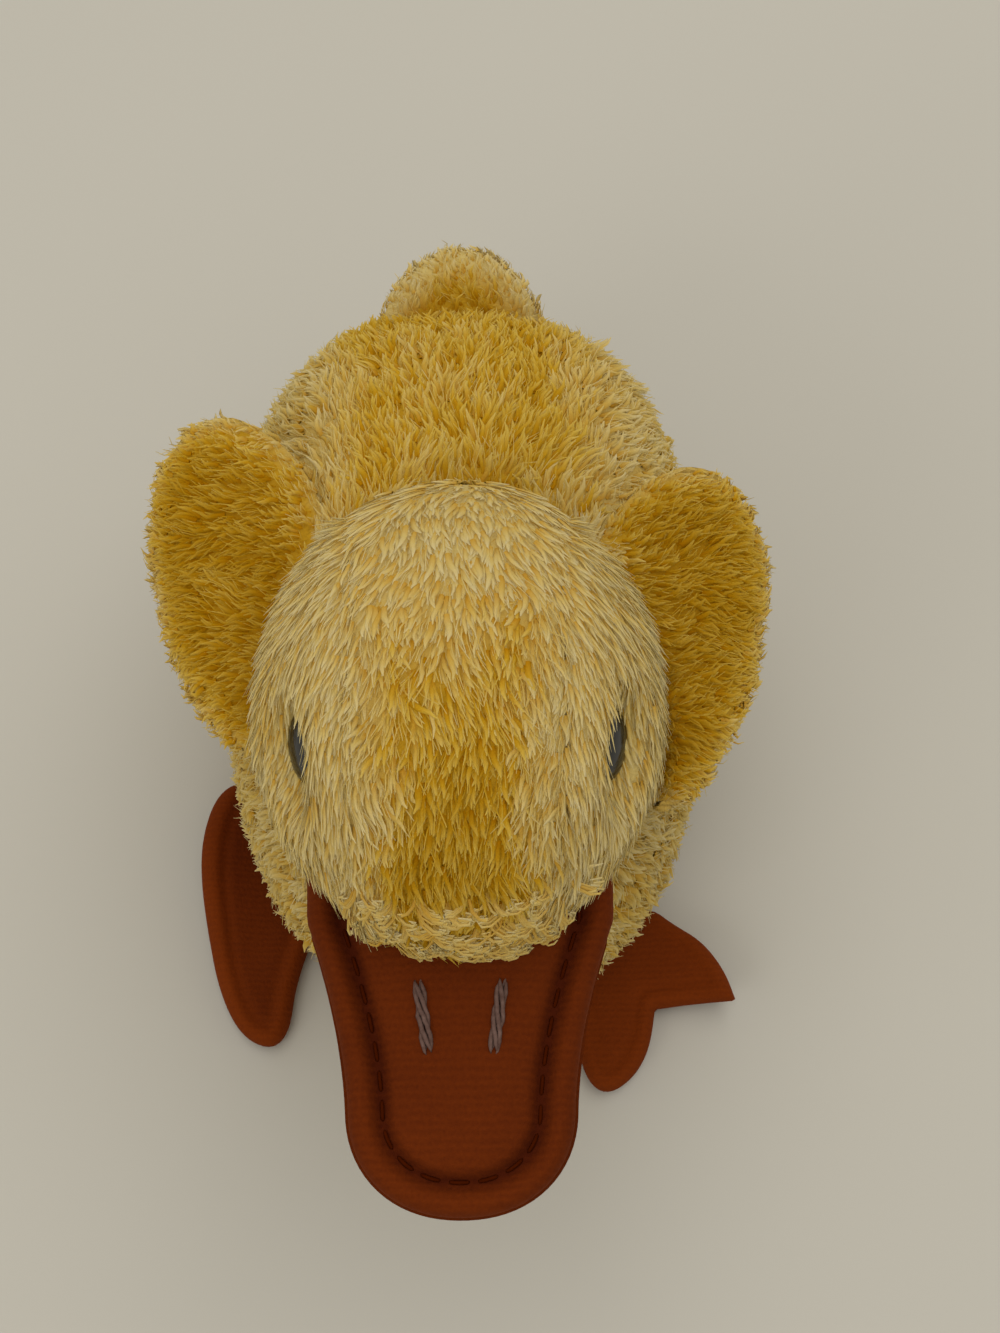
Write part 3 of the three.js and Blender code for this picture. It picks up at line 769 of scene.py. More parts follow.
def makeStage():
    startAfresh()
    bpy.ops.mesh.primitive_plane_add(size=studio["floor"])
    floor = named("studioFloor")
    paper = mottled("floorPaper", dark=colour(182, 177, 164), light=colour(188, 183, 170), **paperFinish)
    floor.data.materials.append(paper)

    camera = bpy.data.objects.new("camera", bpy.data.cameras.new("camera"))
    bpy.context.collection.objects.link(camera)
    camera.data.lens = view["lens"]
    camera.data.sensor_width = view["sensor"]
    camera.data.clip_start = 0.01
    aside = math.radians(view["azimuth"])
    above = math.radians(view["elevation"])
    away = Vector((math.sin(aside) * math.cos(above), -math.cos(aside) * math.cos(above), math.sin(above)))
    right = Vector((math.cos(aside), math.sin(aside), 0))
    roll = Matrix.Rotation(math.radians(view["roll"]), 3, "Z")
    turn = Matrix((right, away.cross(right), away)).transposed() @ roll
    camera.rotation_euler = turn.to_euler()
    camera.location = view["place"]
    bpy.context.scene.camera = camera

    for name, lamp in lamps.items():
        light = bpy.data.objects.new(name, bpy.data.lights.new(name, "AREA"))
        bpy.context.collection.objects.link(light)
        light.data.shape = "DISK"
        light.data.size = lamp["size"]
        light.data.energy = lamp["power"]
        light.location = lamp["place"]
        backward = Vector(lamp["place"]) - Vector(studio["aim"])
        light.rotation_euler = backward.to_track_quat("Z", "Y").to_euler()

    scene = bpy.context.scene
    scene.view_settings.view_transform = "Standard"
    scene.world = scene.world or bpy.data.worlds.new("studio")
    scene.world.use_nodes = True
    back = scene.world.node_tree.nodes["Background"]
    back.inputs[0].default_value = studio["sky"]
    back.inputs[1].default_value = studio["skyPower"]


makeStage()
print("stage set")


# Head: a gusset between two side panels, over the stuffing

headLook = {"cloth": 0.8, "fill": 0.85, "pressure": 4.0, "swell": 0.7, "seamDepth": 0.5}
browCurls = dict(
    lockCoat, strand="curl", density=0.3, tuft=7, tuftSize=0.2, length=2.8, lean=40, droop=40, wave=0.0,
    loop=0.5, turns=0.7, swirl=0.5, swirlSize=2.6, stray=0.02, radius=0.17, flat=0.8, tone=0.4, ring=1.1,
    soft=0.5, spread=0.3, taper=(0.8, 1.0, 1.0, 0.9, 0.5), seed=14,
)
browLook = {"front": -0.7, "high": 0.36, "bow": 0.5, "half": 0.52, "above": 2.2}
gussetLook = {  # each tint's start and reach, and its strength
    "crown": (-0.35, 0.8), "crownPale": 0.45, "seams": (0.14, 0.4), "seamPale": 0.4, "brow": (0.0, 0.8),
    "browDeep": 0.28, "pale": 0.04, "sleek": (-0.1, 0.3),
}
billRoom = {"half": 15.2, "thick": 2.4, "back": -9.0, "topHalf": 15.5, "topBack": -6.0, "top": 2.9}
eyeSocket = {
    "deep": 3.1, "tall": 5.4, "wide": 3.4, "clearTall": 4.4, "clearWide": 1.8, "along": (0.0, 0.9, 0.43),
    "side": -9.0,  # farther in than this is the other side of the head
}
eyeAhead = 8.2
eyeAbove = 9.8
eyeShare = math.sqrt(1 - (eyeAhead / headSize["radii"][1]) ** 2 - (eyeAbove / headSize["radii"][2]) ** 2)
eyeOffsets = [np.array([side * eyeShare * headSize["radii"][0], -eyeAhead, eyeAbove]) for side in (1, -1)]
eyeSpots = [headSize["middle"] + offset for offset in eyeOffsets]
eyeFacing = [unit(offset / headSize["radii"] ** 2) for offset in eyeOffsets]


def aboutEyes(places):  # for each eye: how far up, across and out each place is from it
    for spot, facing in zip(eyeSpots, eyeFacing):
        up = np.array(eyeSocket["along"])
        up = unit(up - facing * (up @ facing))
        apart = places - spot
        yield apart @ up, apart @ np.cross(up, facing), apart @ facing, facing


def clearOfEyes(roots):
    free = np.ones(len(roots), dtype=bool)
    for up, across, out, facing in aboutEyes(roots):
        socket = (up / eyeSocket["clearTall"]) ** 2 + (across / eyeSocket["clearWide"]) ** 2 < 1
        free &= ~socket | (out < eyeSocket["side"])
    return free


def pressedEyes(places):  # the shanks draw the cloth in round the eyes
    pressed = places.copy()
    for up, across, out, facing in aboutEyes(places):
        apart = (up / eyeSocket["tall"]) ** 2 + (across / eyeSocket["wide"]) ** 2
        dent = eyeSocket["deep"] * np.exp(-apart ** 2)
        pressed -= facing * np.where(out > eyeSocket["side"], dent, 0.0)[:, None]
    return pressed


def keepOnHead(roots):
    local = toLocal(billPlace, roots)
    underBill = (np.abs(local[:, 0]) < billRoom["half"]) & (np.abs(local[:, 2]) < billRoom["thick"])
    return clearOfEyes(roots) & ~(underBill & (local[:, 1] > billRoom["back"]))


def keepOnBrow(roots):  # the strip above the bill that carries the curls
    local = onHead(roots)
    strip = (local[:, 1] < browLook["front"]) & (np.abs(local[:, 0]) < browLook["half"])
    strip &= local[:, 2] < browLook["high"] - browLook["bow"] * local[:, 0] ** 2
    return strip & (toLocal(billPlace, roots)[:, 2] > browLook["above"])


def overBill(roots, line):  # strands above the bill lie on it
    local = toLocal(billPlace, line)
    top = billRoom["top"]
    onTop = (toLocal(billPlace, roots)[:, 2] > 0) & (np.abs(local[:, 0]) < billRoom["topHalf"])
    sunk = onTop & (local[:, 1] > billRoom["topBack"]) & (local[:, 2] < top)
    local[:, 2] = np.where(sunk, top + (top - local[:, 2]) * 0.1, local[:, 2])
    return toWorld(billPlace, local)


def headNap(places):  # combed out from the crown, down to the bill and the nape
    crown = headForm(np.array([[0.0, 0.8, 0.6]]), 0.0)
    apart = places - crown
    far = np.linalg.norm(apart, axis=1, keepdims=True)
    ahead = np.array([0.0, -0.9, -0.4]) * np.where(apart[:, 1:2] < 0, 1.0, -0.4)
    tousled = np.array([noise.noise_vector(Vector(p) / 3.5) for p in places])
    return unit(apart) + ahead * np.minimum(far / 12, 1) + tousled * 2.5 * np.exp(-(far / 6) ** 2)


def eased(share):
    return share * share * (3 - 2 * share)


# the paler crown is partly painted light, and the deeper gold over the forehead partly painted shade
def gussetTint(roots):  # pale at the crown and at the seams, golden over the forehead
    local = onHead(roots)
    crown = eased(ramp(local[:, 1], *gussetLook["crown"]))
    seams = eased(ramp(np.abs(local[:, 0]), *gussetLook["seams"]))
    brow = eased(ramp(-local[:, 1], *gussetLook["brow"]))
    pale = np.maximum(crown * gussetLook["crownPale"], seams * gussetLook["seamPale"]) + gussetLook["pale"]
    return pale - brow * gussetLook["browDeep"] * (1 - seams)


def sleekCrown(roots):
    return ramp(onHead(roots)[:, 1], *gussetLook["sleek"])


def makeHead():
    ball = roundBall("headRightCloth", 23)
    setPoints(ball, headForm(points(ball), pileDepth))
    gusset = headSize["gusset"]
    cutPlane(ball, (gusset, 0, 0), (1, 0, 0))
    cutPlane(ball, (-gusset, 0, 0), (1, 0, 0))
    low = headSize["middle"][2] - 7.0
    cutPlane(ball, (0, 0, low), (0, 0, 1))
    spots = points(ball)
    seam = near(np.abs(spots[:, 0]), gusset) & (spots[:, 2] > low - 0.01)
    setPoints(ball, spots - normals(ball) * np.where(seam, headLook["seamDepth"], 0.0)[:, None])
    puff(ball, seam, headLook["pressure"], headLook["swell"])
    setPoints(ball, pressedEyes(points(ball)))
    deleteFaces(ball, lengths(faceMiddles(ball) - neckSize["pivot"]) < neckSize["radius"] - 1.0)
    middles = faceMiddles(ball)
    top = separateFaces(ball, (np.abs(middles[:, 0]) < gusset) & (middles[:, 2] > low), "headGussetCloth")
    left = separateFaces(ball, faceMiddles(ball)[:, 0] > 0, "headLeftCloth")
    growPile("browCurls", surfaceOf(top), "head", browCurls, headNap, keepOnBrow, overBill)
    tufts = {"length": 2.9, "wave": 0.25, "tint": gussetTint, "press": sleekCrown}
    cheek = {
        "wave": 0.12, "swirl": 0.2, "stray": 0.08, "tone": 0.45, "slot": "pale_plush", "length": 2.8,
        "lean": 82, "droop": 4,
    }
    sleek = dict(cheek, strand="sleek", density=1.3, radius=0.22, flat=0.3)
    panels = [
        (top, "head_gusset", "headGusset", tufts, tufts, 11),
        (left, "head_left_panel", "headLeft", sleek, cheek, 12),
        (ball, "head_right_panel", "headRight", sleek, cheek, 13),
    ]
    for cloth, node, name, look, hairs, seed in panels:
        growCoats(name, cloth, "head", headNap, keepOnHead, overBill, seed, look, hairs)
        sewn(cloth, headLook, backing, "head", look.get("slot", "golden_plush"), node)


makeHead()
print("head made")


# Body: four plush panels over the stuffing, hollowed under the head and open below for a finger

bodyLook = {
    "cloth": 0.8, "fill": 0.8, "pressure": 4.0, "swell": 0.8, "seamDepth": 0.5, "headRoom": 6.5,
    "mouth": 11.0, "mouthRim": 1.9, "mouthRoom": 2.0, "bellySeam": 5.0, "backHalf": 15.0, "backLow": 20.0,
    "chest": 3.5, "chestHeight": 14.0, "chestTall": 13.0, "floorGap": 0.45,
    "flapRoom": (4.0, 1.2),
}
backLook = {"pale": 0.3, "edges": (8.0, 8.0), "low": (-34.0, 14.0), "rear": (18.0, 20.0), "fall": 2.5}
bellyCoat = dict(
    lockCoat, strand="sleek", density=0.3, length=2.4, lean=60, droop=28, wave=0.2, radius=0.4, tone=-0.1,
    seed=24,
)
flapSeams = [  # where a flap is sewn on, and half the length of its seam
    (leftWingPlace, 16), (rightWingPlace, 16), (tailPlace, 9), (leftFootPlace, 6), (rightFootPlace, 6),
]


def backNap(places):  # combed towards the tail, and down at the rear
    return combed(places, 1.0, -0.2 - backLook["fall"] * ramp(places[:, 1], *backLook["rear"]), 0.02)


def backTint(roots):  # paler towards the side seams and low down
    edges = ramp(np.abs(roots[:, 0]), *backLook["edges"])
    return backLook["pale"] * np.maximum(edges, ramp(-roots[:, 2], *backLook["low"]))


def flankNap(places):  # combed down and back
    return combed(places, 0.35, -1.0, 0.0)


def bellyNap(places):
    return combed(places, 1.0, 0.0, 0.01)


def keepOnBody(roots):  # clear of the seams of the wings, tail and feet
    covered = np.zeros(len(roots), dtype=bool)
    for place, half in flapSeams:
        covered |= (np.abs(toLocal(place, roots)) < (half, *bodyLook["flapRoom"])).all(axis=1)
    return ~covered


def keepOnBelly(roots):  # clear of the mouth
    far = lengths(roots[:, :2] - neckSize["pivot"][:2])
    return keepOnBody(roots) & (far > bodyLook["mouth"] + bodyLook["mouthRoom"])


def aboveFloor(roots, line):
    line[:, 2] = np.maximum(line[:, 2], bodyLook["floorGap"])
    return line


def makeBody():
    ball = roundBall("rightSideCloth", 31)
    setPoints(ball, bodyForm(points(ball), pileDepth))
    seamHalf = bodyLook["backHalf"]
    cutPlane(ball, (seamHalf, 0, 0), (1, 0, 0))
    cutPlane(ball, (-seamHalf, 0, 0), (1, 0, 0))
    cutPlane(ball, (0, 0, bodyLook["backLow"]), (0, 0, 1))
    cutPlane(ball, (0, 0, bodyLook["bellySeam"]), (0, 0, 1))
    mouth = neckSize["pivot"][:2]
    spots = points(ball)
    apart = spots[:, :2] - mouth
    far = lengths(apart)
    rim = (np.abs(far - bodyLook["mouth"]) < bodyLook["mouthRim"]) & (spots[:, 2] < 3)
    pulled = mouth + apart / np.maximum(far, 1e-6)[:, None] * bodyLook["mouth"]
    spots[:, :2] = np.where(rim[:, None], pulled, spots[:, :2])

    # the seams are drawn in a little, and the bowl for the head is pressed after the pad has swollen
    back = (spots[:, 1] > mouth[1]) & (spots[:, 2] > bodyLook["backLow"] - 0.01)
    seam = near(np.abs(spots[:, 0]), seamHalf) & back
    seam |= near(spots[:, 2], bodyLook["backLow"]) & (np.abs(spots[:, 0]) < seamHalf) & (spots[:, 1] > 0)
    setPoints(ball, spots)
    setPoints(ball, spots - normals(ball) * np.where(seam, bodyLook["seamDepth"], 0.0)[:, None])
    puff(ball, seam | (spots[:, 2] < bodyLook["bellySeam"] + 0.1), bodyLook["pressure"], bodyLook["swell"])
    spots = points(ball)
    low = np.exp(-((spots[:, 2] - bodyLook["chestHeight"]) / bodyLook["chestTall"]) ** 2)
    spots[:, 1] -= bodyLook["chest"] * low * np.clip(-spots[:, 1] / 30 - 0.2, 0, 1)
    setPoints(ball, spots)
    setPoints(ball, underHead(points(ball), bodyLook["headRoom"] + pileDepth))
    merged(ball, 0.05)

    middles = faceMiddles(ball)
    opened = lengths(middles - neckSize["pivot"]) < neckSize["radius"] - 1.5
    opened |= (lengths(middles[:, :2] - mouth) < bodyLook["mouth"]) & (middles[:, 2] < 10)
    deleteFaces(ball, opened)
    belly = separateFaces(ball, faceMiddles(ball)[:, 2] < bodyLook["bellySeam"], "bellyCloth")
    middles = faceMiddles(ball)
    back = (np.abs(middles[:, 0]) < seamHalf) & (middles[:, 1] > mouth[1])
    back = separateFaces(ball, back & (middles[:, 2] > bodyLook["backLow"]), "backCloth")
    left = separateFaces(ball, faceMiddles(ball)[:, 0] > 0, "leftSideCloth")
    panels = [
        (back, "back_panel", "back", "golden_plush", -0.04, backNap, 21),
        (left, "left_side_panel", "leftSide", "pale_plush", 0.3, flankNap, 22),
        (ball, "right_side_panel", "rightSide", "pale_plush", 0.3, flankNap, 23),
    ]
    marked(belly, "tone", toneAt(points(belly), bellyCoat))
    growPile("bellyPile", surfaceOf(belly), "torso", bellyCoat, bellyNap, keepOnBelly, aboveFloor)
    for cloth, node, name, slot, tone, nap, seed in panels:
        locks = {"density": 0.36, "radius": 0.33, "tone": tone, "slot": slot}
        if name == "back":
            locks = dict(locks, density=0.75, radius=0.27, tint=backTint)
        hairs = dict(locks, density=1.5, radius=hairCoat["radius"], tone=tone + 0.06)
        growCoats(name, cloth, "torso", nap, keepOnBody, aboveFloor, seed, locks, hairs)
    for cloth, node, name, slot, *rest in panels + [(belly, "belly_panel", "belly", "golden_plush")]:
        sewn(cloth, bodyLook, backing, "torso", slot, node)


makeBody()
print("body made")


# Neck: a stuffed plush collar

collarLook = {"pile": 2.8, "round": 9, "fill": 0.7}
collarCoat = dict(
    lockCoat, density=0.45, length=4.4, lean=10, droop=45, radius=0.4, tone=0.2, slot="pale_plush", seed=31,
)


def collarNap(places):
    return combed(places, 0.0, -1.0, 0.0)


def onCollarSide(roots):
    return lengths((roots - neckSize["pivot"])[:, :2]) > neckSize["finger"] + 1.6


def makeCollar():
    half = neckSize["half"] - 0.4
    heights = np.linspace(-half, half, collarLook["round"])
    outer = [(math.sqrt(neckSize["radius"] ** 2 - h ** 2) - collarLook["pile"], h) for h in heights]
    inner = neckSize["finger"] + 1.3
    outer = [(max(r, inner + 0.4), h) for r, h in outer]
    profile = outer + [(inner, half), (inner, -half)]
    collar = turned("neckCollar", 40, profile + profile[:1], neckSize["pivot"], np.eye(3))
    marked(collar, "tone", toneAt(points(collar), collarCoat))
    growPile("collarPile", surfaceOf(collar), "neck", collarCoat, collarNap, onCollarSide)
    dressed(collar, backing, "neck", "pale_plush", "neck_collar")


makeCollar()
print("neck made")


# Wings and tail: two plush layers, sewn round the rim

wingLook = {
    "length": 40.0, "width": 22.5, "thickness": 9.0, "endTaper": 0.2, "tipTaper": 0.0, "cup": 3.0,
    "seamDepth": 8.0, "inset": 1.1, "cloth": 0.6, "fill": 0.5, "pressure": 4.0, "swell": 0.5, "headRoom": 5.5,
    "tone": -0.45, "rimPale": 0.7, "paleFall": 0.15, "rimTrim": 0.45, "trimFall": 0.1,
}
tailLook = dict(
    wingLook, length=25.0, width=17.5, thickness=8.0, endTaper=0.0, tipTaper=0.3, cup=2.0, seamDepth=9.0,
    tone=-0.1,
)


def makeFlap(name, place, side, look, body, seed):
    ball = roundBall(name + "UnderCloth", 15)
    spots = points(ball)
    outward = (spots[:, 1] + 1) / 2
    x = spots[:, 0] * look["length"] / 2 * (1 - look["tipTaper"] * outward)
    y = outward * look["width"] * (1 - side * look["endTaper"] * spots[:, 0]) - look["seamDepth"]
    z = spots[:, 2] * look["thickness"] / 2 + look["cup"] * spots[:, 0] ** 2
    above = faceMiddles(ball)[:, 2] > 0
    rim = near(spots[:, 2], 0)
    setPoints(ball, np.stack([x, y, z], axis=1))
    setPoints(ball, points(ball) - normals(ball) * look["inset"])
    puff(ball, rim, look["pressure"], look["swell"])
    tips = points(ball)[rim]
    setPoints(ball, besideHead(toWorld(place, points(ball)), look["headRoom"]))
    top = separateFaces(ball, above, name + "TopCloth")

    def nap(places):  # combed out from the seam
        return combed(toLocal(place, places), 1.0, 0.0, 0.02) @ place[0].T

    def fromRim(roots):
        apart = toLocal(place, roots)[:, None, :2] - tips[None, :, :2]
        return np.sqrt((apart ** 2).sum(axis=2).min(axis=1))

    def outside(roots):
        return ~insideBody(roots, pileDepth - 0.8)

    def paler(roots):  # towards the rim
        return np.clip(look["rimPale"] - fromRim(roots) * look["paleFall"], 0, None)

    def shorter(roots):
        return np.clip(look["rimTrim"] + fromRim(roots) * look["trimFall"], None, 1)

    locks = {
        "strand": "sleek", "density": 0.7, "length": 2.9, "radius": 0.27, "tone": look["tone"], "tint": paler,
        "trim": shorter,
    }
    hairs = dict(locks, strand="fine", density=2.0, radius=hairCoat["radius"], tone=look["tone"] + 0.06)
    for cloth, layer, soft, layerSeed in ((top, "top", 0.9, seed), (ball, "under", 0.4, seed + 1)):
        deleteFaces(cloth, insideBody(faceMiddles(cloth), pileDepth + 1.6))
        coats = (dict(locks, soft=soft), dict(hairs, soft=soft))
        growCoats(name + layer.title(), cloth, body, nap, outside, None, layerSeed, *coats)
        sewn(cloth, look, backing, body, "golden_plush", body + "_" + layer)


makeFlap("leftWing", leftWingPlace, 1, wingLook, "left_wing", 41)
makeFlap("rightWing", rightWingPlace, -1, wingLook, "right_wing", 43)
makeFlap("tail", tailPlace, 1, tailLook, "tail", 45)
print("wings and tail made")


# Flat sewn pads: a rim line, filled from its middle outward, with a height for each distance from the rim

def arcPoints(start, control, end, steps):
    t = np.linspace(0, 1, steps, endpoint=False)[:, None]
    return (1 - t) ** 2 * np.array(start) + 2 * t * (1 - t) * np.array(control) + t ** 2 * np.array(end)


def linePoints(start, end, steps):
    t = np.linspace(0, 1, steps, endpoint=False)[:, None]
    return (1 - t) * np.array(start) + t * np.array(end)


def fromLine(places, line):  # distance of each place from a chain of points
    best = np.full(len(places), 1e9)
    for start, end in zip(line[:-1], line[1:]):
        along = end - start
        t = np.clip((places - start) @ along / max(along @ along, 1e-9), 0, 1)
        best = np.minimum(best, lengths(places - start - t[:, None] * along))
    return best


def between(t, steps, line):  # places along a chain of points in space
    return np.stack([np.interp(t, steps, line[:, i]) for i in range(3)], axis=1)


def rolledEdge(inward, over):  # a round rim: 0 at the edge and 1 from a little way in
    return np.clip(1 - (1 - ramp(inward, 0, over)) ** 2, 0, 1) ** 0.5


def unevened(pad, rim, size, seed, depth):  # the filling shows through a little, away from the rim
    spots = points(pad)
    spots[:, 2] += lumps(spots, size, seed) * depth * ramp(fromLine(spots[:, :2], rim), 0, 2)
    setPoints(pad, spots)
    return spots


def sewnPad(name, rimLine, middle, around, rings, height):  # height(places) gives half the thickness
    closed = np.vstack([rimLine, rimLine[:1]])
    angles = np.unwrap(np.arctan2(closed[:, 1] - middle[1], closed[:, 0] - middle[0]))
    if angles[-1] < angles[0]:
        closed = closed[::-1]
        angles = angles[::-1]
    reach = lengths(closed - middle)
    steps = pathSteps(closed)
    steps = steps / steps[-1]

    def shape(u, v):  # v runs from the middle of the top over the rim to the middle of the underside
        spoke = np.interp(u, steps, angles)
        onRim = np.abs(v - 0.5) < 1e-6
        out = np.where(onRim, 1.0, np.sin(v * np.pi) ** 0.8) * np.interp(spoke, angles, reach)
        flat = np.stack([np.cos(spoke), np.sin(spoke)], axis=1) * out[:, None] + middle
        upper = np.where(onRim, 0.0, np.where(v <= 0.5, 1.0, -1.0))
        return np.column_stack([flat, upper * height(flat, v <= 0.5)])
    return wrapped(name, around, rings * 2, shape)


def splitLayers(pad, name):  # upper and lower cloth of a pad that is still in its own frame
    top = separateFaces(pad, faceMiddles(pad)[:, 2] > 0, name + "Top")
    return top, renamed(pad, name + "Under")


# Bill: two velour layers round a stiff insert, top-stitched inside the edge

billLook = {
    "base": 15.0, "tip": 11.0, "round": 10.2, "blunt": 0.92, "length": 27.2, "half": 2.5, "groove": 3.4,
    "dentTop": 1.3, "dentUnder": 0.6, "roll": 1.7, "crown": 0.25, "lip": 0.3, "lipDrop": 0.25, "crease": 0.55,
    "cloth": 0.7, "fill": 0.45, "pressure": 3.0, "swell": 0.3, "rootMiddle": -3.0, "rootBow": 5.0,
    "middle": (0.0, 15.0), "lumpSize": 5.0, "lump": 0.16,
}
stitchLook = {"length": 2.3, "gap": 0.5, "radius": 0.2, "lift": 0.3}
nostrilLook = {
    "length": 7.3, "spacing": 7.2, "forward": 8.1, "turn": 8.0, "threads": 4, "radius": 0.24, "bundle": 0.4,
    "twist": 2.6,
}


def billRoot(x):  # the sewn end bows back into the head
    return billLook["rootMiddle"] - billLook["rootBow"] * (x / billLook["base"]) ** 2


def billLines(inset):  # free edge from one root corner round the tip to the other
    base = billLook["base"] - inset
    tip = billLook["tip"] - inset
    middle = billLook["length"] - billLook["round"]
    turn = np.linspace(0, np.pi, 40)
    blunt = np.sign(np.cos(turn)) * np.abs(np.cos(turn)) ** billLook["blunt"]
    ahead = middle + (billLook["round"] - inset) * np.sin(turn) ** billLook["blunt"]
    nose = np.stack([tip * blunt, ahead], axis=1)
    root = linePoints((base, billRoot(base)), (base, -1.0), 8)
    side = np.vstack([root, arcPoints((base, -1.0), (tip + 0.3, middle * 0.55), nose[0], 16)])
    return np.vstack([side, nose, side[::-1] * np.array([-1, 1])])


def makeStitches(name, path, look, lift, *dress):  # short threads that dip in and out along a path
    steps = pathSteps(path)
    pitch = look["length"] + look["gap"]
    arch = np.sin(np.linspace(0, np.pi, 7))[:, None] ** 0.5
    pieces = []
    for number in range(int(steps[-1] // pitch)):
        start = (number + 0.1) * pitch
        places = between(start + look["length"] * np.linspace(0, 1, 7), steps, path)
        pieces.append(threadAlong(name, places + lift * arch, look["radius"]))
    return joined(pieces, name, *dress)


def threadAlong(name, places, radius):
    ahead = unit(np.gradient(places, axis=0))
    aside = unit(np.cross(ahead, np.array([0.02, 0.03, 1.0])))
    up = np.cross(aside, ahead)
    steps = np.linspace(0, 1, len(places))
    full = np.clip(np.sin(np.linspace(0, np.pi, len(places))) * 2.2, 0, 1) ** 0.6

    def shape(u, v):
        angle = u * 2 * np.pi
        thick = radius * np.interp(v, steps, full)
        around = between(v, steps, aside) * (thick * np.cos(angle))[:, None]
        around = around + between(v, steps, up) * (thick * np.sin(angle))[:, None]
        return between(v, steps, places) + around
    return wrapped(name, 6, len(places) - 1, shape)


def joined(pieces, name, *dress):
    startAfresh()
    for piece in pieces:
        piece.select_set(True)
    bpy.context.view_layer.objects.active = pieces[0]
    bpy.ops.object.join()
    return dressed(renamed(pieces[0], name), *dress)


def makeBill():
    edge = billLines(0.0)
    across = np.linspace(-billLook["base"], billLook["base"], 25)[1:-1]
    root = np.stack([across, billRoot(across)], axis=1)
    groove = billLines(billLook["groove"])

    def height(flat, upper):
        inward = fromLine(flat, edge)
        deep = np.where(upper, billLook["dentTop"], billLook["dentUnder"])
        dent = np.exp(-fromLine(flat, groove) ** 2) * deep
        crown = billLook["crown"] * ramp(inward, 4, 6)
        full = (billLook["half"] - 0.35) * rolledEdge(inward, billLook["roll"]) + crown - dent
        return np.maximum(full, 0.0) * ramp(fromLine(flat, root), 0, 0.8) ** 0.5

    middle = np.array(billLook["middle"])
    pad = sewnPad("billUnder", np.vstack([edge, root]), middle, 128, 40, height)
    spots = points(pad)
    held = (fromLine(spots[:, :2], edge) < 0.4) | (fromLine(spots[:, :2], groove) < 1.2) | (spots[:, 1] < 0)
    puff(pad, held, billLook["pressure"], billLook["swell"])
    spots = unevened(pad, edge, billLook["lumpSize"], 3, billLook["lump"])
    upper = spots[spots[:, 2] > 0]
    top, under = splitLayers(pad, "bill")
    spots = points(under)  # the lower layer shows as a narrow lip round the edge
    lip = (1 - ramp(fromLine(spots[:, :2], edge), 0, 1.2)) * (spots[:, 1] > 1)
    spots[:, :2] += unit(spots[:, :2] - middle) * (lip * billLook["lip"])[:, None]
    spots[:, 2] -= lip * billLook["lipDrop"]
    setPoints(under, spots)
    # painted shade along the groove of the top-stitching
    marked(top, "crease", billLook["crease"] * np.exp(-(fromLine(points(top)[:, :2], groove) / 0.8) ** 2))
    for cloth, node in ((top, "bill_top"), (under, "bill_underside")):
        setPoints(cloth, toWorld(billPlace, points(cloth)))
        sewn(cloth, billLook, velour, "bill", "rust_velour", node)

    path = groove[groove[:, 1] > -4]
    level = np.full(len(path), billLook["half"] - 1.75)
    seam = toWorld(billPlace, np.column_stack([path, level]))
    lift = billPlace[0][:, 2] * stitchLook["lift"]
    makeStitches("billTopstitch", seam, stitchLook, lift, rustThread, "bill", "rust_thread", "bill_topstitch")
    makeNostril(-1, "nostrilLeft", "nostril_stitch_left", upper)
    makeNostril(1, "nostrilRight", "nostril_stitch_right", upper)
    recoloured("bill_insert", interlining)


def recoloured(node, material):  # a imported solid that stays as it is
    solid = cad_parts[node]
    solid.data.materials.clear()
    solid.data.materials.append(material)


def makeNostril(side, name, node, upper):  # upper is the cloth that the threads lie on
    threads = []
    ends = turnedBy(side * nostrilLook["turn"])
    rng = np.random.default_rng(60 + side)
    steps = np.linspace(-1, 1, 17)
    arch = np.sqrt(np.clip(1 - steps ** 4, 0, 1))
    for number in range(nostrilLook["threads"]):  # loosely twisted together
        twisted = fullTurn * number / nostrilLook["threads"] + nostrilLook["twist"] * steps
        along = steps * nostrilLook["length"] / 2 + rng.normal(0, 0.12)
        sway = nostrilLook["bundle"] * np.cos(twisted) + rng.normal(0, 0.03, len(steps))
        x = sway * ends[0] - along * ends[1] + side * nostrilLook["spacing"] / 2
        y = sway * ends[1] + along * ends[0] + nostrilLook["forward"]
        apart = (upper[None, :, 0] - x[:, None]) ** 2 + (upper[None, :, 1] - y[:, None]) ** 2
        lift = 0.3 + nostrilLook["bundle"] * 0.6 * np.sin(twisted)
        z = upper[apart.argmin(axis=1), 2] - 0.1 + lift * arch
        line = toWorld(billPlace, np.stack([x, y, z], axis=1))
        threads.append(threadAlong(node, line, nostrilLook["radius"]))
    joined(threads, name, nostrilThread, "bill", "nostril_thread", node)


makeBill()
print("bill made")
